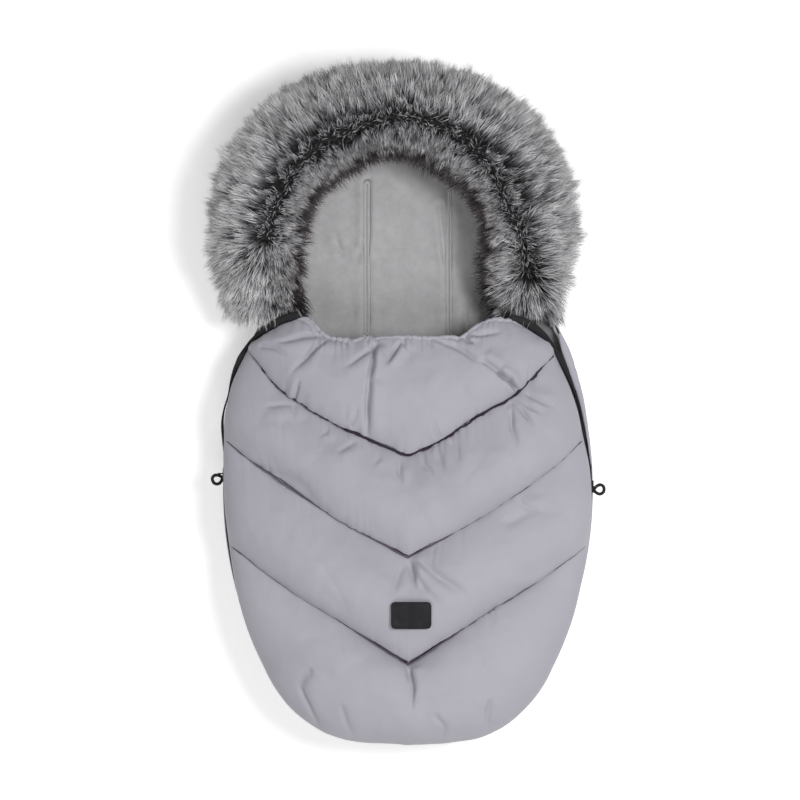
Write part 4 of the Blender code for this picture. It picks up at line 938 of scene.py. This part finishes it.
def tray_ring(degrees, offset):
    """One closed line round the tray's wall, at a depth below its outer face."""
    angle = math.radians(degrees)
    inset = offset + (WALL_BEND - offset) * (1 - math.sin(angle))
    depth = rim_height(OUTLINE[:, 1]) - BACK_Z - offset
    return np.column_stack([OUTLINE + INWARD * inset, BACK_Z + offset + depth * (1 - math.cos(angle))])


def edge_share(degrees):
    return 1 - min(1.0, degrees / UPRIGHT_DEGREES) ** 4


# Harness slots: middle, length and turn in degrees
SLOTS = ((-0.054, 0.193, 0.200, 0.0), (0.054, 0.193, 0.200, 0.0), (0.0, -0.060, 0.060, 90.0))
SLOT_NAMES = ("shoulder_slot_binding_left", "shoulder_slot_binding_right", "crotch_slot_binding")
SLOT_CUT = 0.0084
CUTTER_Z = (-0.02, 0.05)
# How much shorter than its cut a slot's lip is
LIP_SHORT = 0.0056
# Widths and heights round a slot's lip
LIP = ((0.0086, BACK_Z), (0.0086, LINING_TOP), (0.0072, LINING_TOP + 0.0006), (0.0046, LINING_TOP + 0.0008),
       (0.0022, LINING_TOP + 0.0005), (0.0008, LINING_TOP - 0.0002), (0.0006, BACK_Z))


def slot_ring(width, length, z, count):
    """A racetrack of points round a slot's own middle, long in Y."""
    ring = []
    for k in range(count):
        angle = 2 * math.pi * (k + 0.5) / count
        side = 1 if math.sin(angle) >= 0 else -1
        x, y = width / 2 * math.cos(angle), width / 2 * math.sin(angle)
        ring.append((x, y + side * (length - width) / 2, z))
    return ring


def cut_slots(obj, sides=24):
    """Cuts the harness slots through a piece."""
    ends = [tuple(range(sides))[::-1], tuple(range(sides, 2 * sides))]
    for x, y, length, turn in SLOTS:
        points = [p for z in CUTTER_Z for p in slot_ring(SLOT_CUT, length + SLOT_CUT, z, sides)]
        cutter = from_arrays("slot_cutter", points, ring_faces(2, sides) + ends)
        cutter.location = (x, y, 0.0)
        cutter.rotation_euler = (0.0, 0.0, math.radians(turn))
        bpy.context.view_layer.update()
        step = obj.modifiers.new("slot", "BOOLEAN")
        step.operation = "DIFFERENCE"
        step.solver = "EXACT"
        step.object = cutter
        with bpy.context.temp_override(object=obj, active_object=obj):
            bpy.ops.object.modifier_apply(modifier=step.name)
        bpy.data.objects.remove(cutter, do_unlink=True)


def make_slot_lips(sides=48):
    """Soft bound lips that nearly close each harness slot."""
    for node, (x, y, length, turn) in zip(SLOT_NAMES, SLOTS):
        spin = Matrix.Translation((x, y, 0.0)) @ Matrix.Rotation(math.radians(turn), 4, "Z")
        rings = [slot_ring(width, length + width - LIP_SHORT, z, sides) for width, z in LIP]
        points = [tuple(spin @ Vector(p)) for ring in rings for p in ring]
        faces = ring_faces(len(LIP), sides, closed=True)
        lips = from_arrays(node.replace("_binding", "_lips"), points, faces, FINISHES["plush_lip"])
        settle(face_outwards(lips), "back", "binding", node)


# Seams of the lining, in pixels of the photograph
LINING_SEAMS = (
    ((367, 178), (367, 205), (367, 238), (362, 250), (356, 257)),
    ((334, 236), (340, 248), (350, 255), (356, 257)),
    ((440, 203), (442, 225), (445, 254), (449, 262)),
    ((467, 304), (467, 320), (467, 338)),
    ((467, 304), (478, 311), (489, 319)),
)


# The banks beside a seam and a slot, as height, width and distance, and the grooves, as depth and width
SEAM_BANK, SEAM_GROOVE = (0.0016, 0.005, 0.008), (0.0046, 0.0030)
SLOT_BANK, SLOT_GROOVE = (0.0016, 0.006, 0.010), (0.0010, 0.004)


def grooved(nearest, bank, groove):
    """Heights at distances from a line, with a groove on it and banks beside it."""
    height, wide, away = bank
    return height * bell(nearest, wide, away) - groove[0] * bell(nearest, groove[1])


def seam_depth(x, y):
    """Sinks the lining along its seams and slots, with soft banks beside them."""
    total = np.zeros_like(x)
    for pixels in LINING_SEAMS:
        line = [at_pixel(*p) for p in pixels]
        nearest = np.full(x.shape, 1.0)
        for (ax, ay), (bx, by) in zip(line, line[1:]):
            dx, dy = bx - ax, by - ay
            t = np.clip(((x - ax) * dx + (y - ay) * dy) / (dx * dx + dy * dy), 0.0, 1.0)
            nearest = np.minimum(nearest, np.hypot(x - ax - t * dx, y - ay - t * dy))
        total += grooved(nearest, SEAM_BANK, SEAM_GROOVE)
    for sx, sy, length, _ in SLOTS[:2]:
        nearest = np.hypot(x - sx, np.maximum(0.0, np.abs(y - sy) - length / 2))
        total += grooved(nearest, SLOT_BANK, SLOT_GROOVE)
    return total


def bottom_rings(ring, count=64):
    """Rings that shrink from a flat ring to a thin one along the bag's middle."""
    x, y, z = ring.T
    spine = np.clip(y, *SPINE_Y)
    shares = 0.97 * np.arange(1, count + 1) / count
    return [np.column_stack([x * (1 - t), y * (1 - t) + spine * t, z]) for t in shares]


def tray(name, rings, finish):
    """A closed bowl-shaped layer from rings of points, up its outer side and down its inner one."""
    count = len(OUTLINE)
    faces = ring_faces(len(rings), count)
    for start in (0, (len(rings) - 1) * count):
        for k in range(count // 2):
            across = (start + k, start + k + 1, start + (count - k - 1) % count, start + (count - k) % count)
            across = tuple(dict.fromkeys(across))
            if len(across) > 2:
                faces.append(across)
    return face_outwards(from_arrays(name, np.concatenate(rings), faces, finish))


def wrinkled(ring, degrees, depth, seed):
    """Moves a ring in a little in places, more in the middle of the wall than at its edges."""
    s = np.cumsum(np.linalg.norm(np.diff(OUTLINE, axis=0, append=OUTLINE[:1]), axis=1))
    size = depth * math.sin(math.pi * degrees / 90.0) ** 0.7 if 0 < degrees < 90 else 0.0
    move = size * (layered(s * 14.0, s * 0.0 + degrees / 26.0, seed) - 0.3)
    ring = ring.copy()
    ring[:, :2] += INWARD * np.maximum(0.0, move)[:, None]
    return ring


def bulged(ring, degrees):
    """Lets the wall's fabric stand out a little below the zip, but not by the hood."""
    if not 0 < degrees < 90:
        return ring
    size = WALL_BULGE * (1 - smooth((ring[:, 1] + BULGE_FADE) / BULGE_FADE))
    size = size * math.sin(math.pi * degrees / 90.0) ** 0.8
    ring = ring.copy()
    ring[:, :2] -= INWARD * size[:, None]
    return ring


def make_back():
    """The outer fabric and the plush lining, each one bowl with soft wrinkles and slots."""
    outer, inner = [
        [bulged(wrinkled(tray_ring(d, depth), d, SHELL_WRINKLE, 111), d) for d in RING_DEGREES]
        for depth in (0.0, SHELL)
    ]
    shell = tray("outer_fabric", outer + inner[::-1], FINISHES["nylon_back"])
    cut_slots(shell)
    settle(shell, "back", "nylon", "back_shell")
    outer, inner = [], []
    for d in RING_DEGREES:
        fill = TAPE_SLOT + (2 * GAP + BACK_FILL - TAPE_SLOT) * edge_share(d)
        pile = EDGE_PLUSH + (PLUSH - EDGE_PLUSH) * edge_share(d)
        outer.append(tray_ring(d, SHELL + fill))
        inner.append(wrinkled(tray_ring(d, SHELL + fill + pile), d, LINING_WRINKLE, 121))
    inner = inner[::-1] + bottom_rings(inner[0])
    for k, ring in enumerate(inner):
        x, y = ring[:, 0], ring[:, 1]
        soft = LINING_BROAD * layered(x * 18.0, y * 14.0, 131)
        soft += LINING_FINE * layered(x * 60.0, y * 60.0, 135)
        ring[:, 2] += (soft + seam_depth(x, y)) * smooth((k - 8.0) / 12.0)
    lining = tray("plush_lining", outer + inner, FINISHES["plush"])
    cut_slots(lining)
    settle(lining, "back", "plush", "back_lining", "back_wadding")
    make_slot_lips()


# Fur trim

# How far the fur lies to the left of the rim and below it in plan, and where and in what length
FUR_SHIFT, SHIFT_LENGTH = -0.0185, 0.06
FUR_DROP, DROP_Y, DROP_LENGTH = -0.0060, 0.27, 0.11
# How far its outer edge is drawn in at the right end, less along the bag and across the skin
RIGHT_END_IN, RIGHT_END_LENGTH, RIGHT_END_WIDTH = 0.018, 0.12, 0.045
# How far its inner edge is drawn in at the shoulders, less across the skin, and where they are
SHOULDERS_IN, SHOULDERS_WIDTH = 0.013, 0.050
ARCH_X, SHOULDER_X, SHOULDER_SPREAD = -0.018, 0.115, 0.070
SHOULDER_Y, SHOULDER_LENGTH = 0.17, 0.14
# How far the skin's underside sinks, how deep in it hairs start, the lowest that they go, and their wave
SKIN_SUNK, ROOT_DEPTH, HAIR_FLOOR, HAIR_WAVE = 0.0035, 0.0020, 0.004, 0.0012
# Hairs rise more within about the first distance from the parting, and outer ones fall fully past the second
NEAR_PARTING, FAR_FROM_PARTING = 0.012, 0.030
# Painted light: left of this place the fur's colour is made lighter, in this length, for the hairs that lean
# away from the key lamp
PAINTED_LIGHT_X, PAINTED_LIGHT_LENGTH = -0.09, 0.08
STRAND_POINTS = 6
STRAND_PARTS = np.linspace(0.0, 1.0, STRAND_POINTS)
STRAND_TAPER = np.interp(STRAND_PARTS, (0.0, 0.3, 0.7, 1.0), (0.8, 1.0, 0.66, 0.0))
# The skin under the fur, from its inner bottom edge over the rim: inset from the rim, and lift above it
SKIN = (
    (0.055, -0.014), (0.052, 0.004), (0.043, 0.015), (0.029, 0.017), (0.014, 0.021), (0.000, 0.019),
    (-0.013, 0.010), (-0.020, -0.010), (-0.020, -0.036),
)
# The line along which the fur parts, from right to left, in pixels of the photograph
PARTING = (
    (528, 273), (524, 252), (520, 233), (507, 206), (497, 182), (483, 160), (463, 140), (440, 127),
    (418, 121), (394, 120), (345, 134), (318, 150), (300, 166), (286, 190), (275, 215), (268, 238),
)


def fur_frame(place):
    """Plan point, inward step and rim height at shares of the way along the fur."""
    keep = OUTLINE[:, 1] > NECK_Y - 0.001
    line, steps = OUTLINE[keep], INWARD[keep]
    lengths = way_along(line)
    x, y, step_x, step_y = [np.interp(place * lengths[-1], lengths, row) for row in (*line.T, *steps.T)]
    shift = FUR_SHIFT * smooth((y - NECK_Y) / SHIFT_LENGTH)
    drop = FUR_DROP * smooth((y - DROP_Y) / DROP_LENGTH)
    return np.column_stack([x + shift, y + drop]), unit(np.column_stack([step_x, step_y])), rim_height(y)


def skin_points(place, q):
    """Points of the skin, at shares along the fur and across it from inside to outside."""
    inset, lift = np.array(SKIN).T
    lengths = way_along(np.array(SKIN))
    across = np.clip(q, 0.0, 1.0) * lengths[-1]
    u, w = np.interp(across, lengths, inset), np.interp(across, lengths, lift)
    flat, step, rim = fur_frame(place)
    x, y = flat.T
    end = (x > 0) * (1 - smooth((y - NECK_Y) / RIGHT_END_LENGTH))
    u = u + RIGHT_END_IN * end * (1 - smooth(u / RIGHT_END_WIDTH))
    shoulders = bell(np.abs(x - ARCH_X), SHOULDER_SPREAD, SHOULDER_X)
    shoulders = shoulders * smooth((y - SHOULDER_Y) / SHOULDER_LENGTH)
    u = u + SHOULDERS_IN * shoulders * smooth(u / SHOULDERS_WIDTH)
    return np.column_stack([flat + step * u[:, None], rim + w])


def make_fur_skin():
    """The knitted backing under the fur, wrapped over the rim."""
    places, shares = np.meshgrid(np.linspace(0.012, 0.988, 110), np.linspace(0.0, 1.0, 21), indexing="ij")
    upper = skin_points(places.ravel(), shares.ravel()).reshape(*places.shape, 3)
    middle = upper.mean(axis=1, keepdims=True)
    lower = middle + (upper - middle) * 0.90
    lower[..., 2] -= SKIN_SUNK
    piece = slab("fur_base", upper, lower, FINISHES["fur_skin"])
    settle(piece, "back", "fur", "fur_trim", "fur_backing")


def away_from_parting(flat, batch=8000):
    """Plan directions away from the parting, and the distance to it; beyond its ends they fan out."""
    line = smooth_path([at_pixel(*p) for p in PARTING], 160)
    ways = []
    for start in range(0, len(flat), batch):
        gaps = flat[start:start + batch, None, :] - line[None, :, :]
        nearest = np.linalg.norm(gaps, axis=2).argmin(axis=1)
        ways.append(gaps[np.arange(len(nearest)), nearest])
    way = np.concatenate(ways)
    distance = np.linalg.norm(way, axis=1)
    return way / np.maximum(distance, 1e-5)[:, None], distance


def lock_roots(coat, dice, owner):
    """Shares along the fur and across it where the strands of each lock grow, close together."""
    locks, count = coat["locks"], len(owner)
    lock_place = dice.uniform(*coat.get("span", (0.0, 1.0)), locks)
    if "ends" in coat:
        near = 2 * coat["ends"]
        lock_place = np.where(lock_place < 0.5, lock_place * near, 1 - (1 - lock_place) * near)
    low, high = coat["across"]
    lock_q = low + (high - low) * dice.uniform(0.0, 1.0, locks)
    place = np.clip(lock_place[owner] + dice.normal(0.0, coat["spread"], count), 0.0, 1.0)
    return place, np.clip(lock_q[owner] + dice.normal(0.0, coat["spread"] * 7.0, count), low, high)


def combed(coat, dice, owner, place, root):
    """Centre-lines of the strands, which rise, fall away from the parting and clump, and their ways."""
    locks, count = coat["locks"], len(owner)
    way, distance = away_from_parting(root[:, :2])
    swing = dice.normal(0.0, coat["swing"], locks)[owner] + dice.normal(0.0, coat["stray"], count)
    cos, sin = np.cos(swing), np.sin(swing)
    way = np.column_stack([way[:, 0] * cos - way[:, 1] * sin, way[:, 0] * sin + way[:, 1] * cos])
    rise = coat["rise"] * (1 + 0.35 * dice.normal(0.0, 1.0, locks)[owner])
    rise = rise * (0.75 + 0.5 * np.exp(-distance / NEAR_PARTING))
    fall = coat["fall"] * (1 + 0.3 * dice.normal(0.0, 1.0, locks)[owner])
    length = dice.uniform(0.80, 1.10, count) * (0.92 + 0.12 * dice.normal(0.0, 1.0, locks)[owner])
    length = coat["length"] * np.clip(length, 0.5, 1.25)
    if coat.get("fall_far"):
        fall = fall * smooth(distance / FAR_FROM_PARTING)
        length = length * (1 - 0.12 * bell(place, 0.18, 0.5))
    first = unit(np.column_stack([way * 0.75, rise]))
    last = unit(np.column_stack([way, -fall]))
    centre = np.zeros((count, STRAND_POINTS, 3))
    here = root - (0.0, 0.0, ROOT_DEPTH)
    curl = dice.uniform(0.0, 2 * math.pi, locks)[owner]
    bend = 0.06 * dice.normal(0.0, 1.0, count)
    side = np.column_stack([-way[:, 1], way[:, 0], np.zeros(count)])
    for n, t in enumerate(STRAND_PARTS):
        off = bend * length * math.sin(math.pi * t) + HAIR_WAVE * np.sin(curl + 5.0 * t) * t
        centre[:, n] = here + side * off[:, None]
        step = unit(first * (1 - t) ** 1.3 + last * t ** 0.9)
        here = here + step * (length / (STRAND_POINTS - 1))[:, None]
    tips = centre[:, -1].reshape(locks, coat["each"], 3).mean(axis=1)
    pull = tips[owner] - centre[:, -1]
    for n, t in enumerate(STRAND_PARTS):
        centre[:, n] += pull * coat["clump"] * t ** 1.5
    centre[..., 2] = np.maximum(centre[..., 2], HAIR_FLOOR)
    return centre, way


def grow(name, coat):
    """Grows one coat of hair in locks, and stores its strands as tapered ribbons."""
    dice = np.random.default_rng(coat["seed"])
    locks = coat["locks"]
    owner = np.repeat(np.arange(locks), coat["each"])
    count = len(owner)
    place, q = lock_roots(coat, dice, owner)
    root = skin_points(place, q)
    centre, way = combed(coat, dice, owner, place, root)
    facing = np.column_stack([way * 0.35, np.ones(count)])[:, None, :] + dice.normal(0.0, 0.32, (count, 1, 3))
    across = unit(np.cross(unit(np.gradient(centre, axis=1)), facing))
    half = coat["width"] / 2 * STRAND_TAPER[None, :, None] * dice.uniform(0.7, 1.4, count)[:, None, None]
    tone = 0.5 + 0.17 * dice.normal(0.0, 1.0, locks)[owner] + 0.12 * dice.normal(0.0, 1.0, count)
    # Painted light: hairs on the fur's left are lightened in colour, as they lean away from the key lamp
    tone = np.clip(tone + 0.15 * smooth((PAINTED_LIGHT_X - root[:, 0]) / PAINTED_LIGHT_LENGTH), 0.0, 1.0)
    pieces = coat.get("pieces", 1)
    order = np.argsort(place, kind="stable")
    for n in range(pieces):
        chosen = order[n * count // pieces:(n + 1) * count // pieces]
        offset = across[chosen] * half[chosen]
        make_strands(f"{name}_{n + 1}", centre[chosen], offset, tone[chosen], FINISHES[coat["finish"]])


# The coats of hair: how many locks, hairs in each, where across the skin, how they lie, and their size
COATS = {
    "fur_down": dict(finish="fur_dark", seed=3, locks=5200, each=2, across=(0.06, 0.97), span=(0.03, 0.97),
                     spread=0.004, swing=0.5, stray=0.5, rise=1.0, fall=0.2, length=0.014, width=0.0022,
                     clump=0.2),
    # Painted shade: the fringe's dark hairs stand for the shadow under the fur's inner edge
    "fur_fringe": dict(finish="fur_fringe", seed=5, locks=800, each=9, across=(0.03, 0.22), spread=0.0044,
                       swing=0.30, stray=0.26, rise=0.25, fall=0.10, length=0.034, width=0.0007, clump=0.50),
    "fur_inner": dict(finish="fur_inner", seed=7, locks=1300, each=14, across=(0.16, 0.46), span=(0.02, 0.98),
                      spread=0.0030, swing=0.20, stray=0.14, rise=0.8, fall=0.50, length=0.029, width=0.0009,
                      clump=0.48),
    "fur_tuft": dict(finish="fur_dark", seed=11, locks=300, each=12, across=(0.06, 0.45), ends=0.032,
                     spread=0.0030, swing=0.3, stray=0.2, rise=0.7, fall=0.5, length=0.024, width=0.0011,
                     clump=0.5),
    "fur_outer": dict(finish="fur", seed=9, locks=2600, each=15, across=(0.38, 1.0), span=(0.035, 0.965),
                      spread=0.0034, swing=0.11, stray=0.07, rise=0.90, fall=0.42, length=0.044, width=0.0009,
                      clump=0.36, pieces=3, fall_far=True),
}


def make_fur():
    """The skin and its five coats: dark down, the fringe darkened with painted shade, inner hair, tufts at
    the ends, outer hair.
    """
    make_fur_skin()
    for name, coat in COATS.items():
        grow(name, coat)


def make_strands(name, centre, offset, tone, finish):
    """Flat tapered ribbons that end in a point, mapped from root to tip."""
    count, steps = centre.shape[:2]
    left = (centre - offset)[:, :-1]
    right = (centre + offset)[:, :-1]
    points = np.concatenate([left, right, centre[:, -1:]], axis=1)
    per = 2 * (steps - 1) + 1
    base = np.arange(count) * per
    quads = np.concatenate([
        np.stack([base + n, base + n + 1, base + steps + n, base + steps - 1 + n], axis=1)
        for n in range(steps - 2)
    ])
    tris = np.stack([base + steps - 2, base + per - 1, base + 2 * (steps - 1) - 1], axis=1)
    mesh = bpy.data.meshes.new(name)
    mesh.vertices.add(count * per)
    mesh.vertices.foreach_set("co", points.reshape(-1))
    loops = np.concatenate([quads.reshape(-1), tris.reshape(-1)])
    mesh.loops.add(len(loops))
    mesh.loops.foreach_set("vertex_index", loops.astype(np.int32))
    starts = np.concatenate([np.arange(len(quads)) * 4, len(quads) * 4 + np.arange(len(tris)) * 3])
    mesh.polygons.add(len(starts))
    mesh.polygons.foreach_set("loop_start", starts.astype(np.int32))
    mesh.update(calc_edges=True)
    ways = np.concatenate([STRAND_PARTS[:-1], STRAND_PARTS[:-1], STRAND_PARTS[-1:]])
    v = np.tile(ways, count) * 0.98 + 0.01
    u = np.repeat(tone, per) * 0.98 + 0.01
    layer = mesh.uv_layers.new(name="OFBake")
    layer.data.foreach_set("uv", np.column_stack([u[loops], v[loops]]).reshape(-1))
    mesh.materials.append(finish)
    mesh.shade_smooth()
    settle(link(bpy.data.objects.new(name, mesh)), "back", "fur")


# Cord loops

# A loop's centre-line in its own plane, out from the slider and up the zip, and how each loop leans
LOOP = ((0.0012, 0.000), (0.0052, 0.0042), (0.0104, 0.0060), (0.0146, 0.0030), (0.0142, -0.0032),
        (0.0096, -0.0060), (0.0048, -0.0042))
LOOP_LEANS = {"left": -18.0, "right": 4.0}
LOOP_RADIUS = 0.0021
LOOP_SEAT = 0.0015
LOOP_SAG = 0.10


def make_loops():
    """Round braided loops on the sliders."""
    for side, sign in (("left", -1.0), ("right", 1.0)):
        (x0, y0, z0), (x1, y1, z1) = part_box(f"pull_loop_{side}")
        hold_x = x1 if sign < 0 else x0
        lean = math.radians(LOOP_LEANS[side])
        cos, sin = math.cos(lean), math.sin(lean)
        points = []
        for out, up in LOOP:
            x = hold_x + sign * (out * cos - up * sin - LOOP_SEAT)
            points.append((x, (y0 + y1) / 2 + out * sin + up * cos, (z0 + z1) / 2 - LOOP_SAG * out))
        ring = smooth_path(points + [points[0]], 61)[:-1]
        piece = tube(f"pull_cord_{side}", ring, LOOP_RADIUS, FINISHES["cord"], closed=True)
        settle(piece, f"pull_{side}", "cord", f"pull_loop_{side}")


make_camera()
make_floor()
make_world()
make_lamps()
dress_nodes()
for number in range(4):
    make_chamber(number)
make_seams()
make_hem()
make_bands()
make_cover_lining()
make_back()
make_fur()
make_loops()
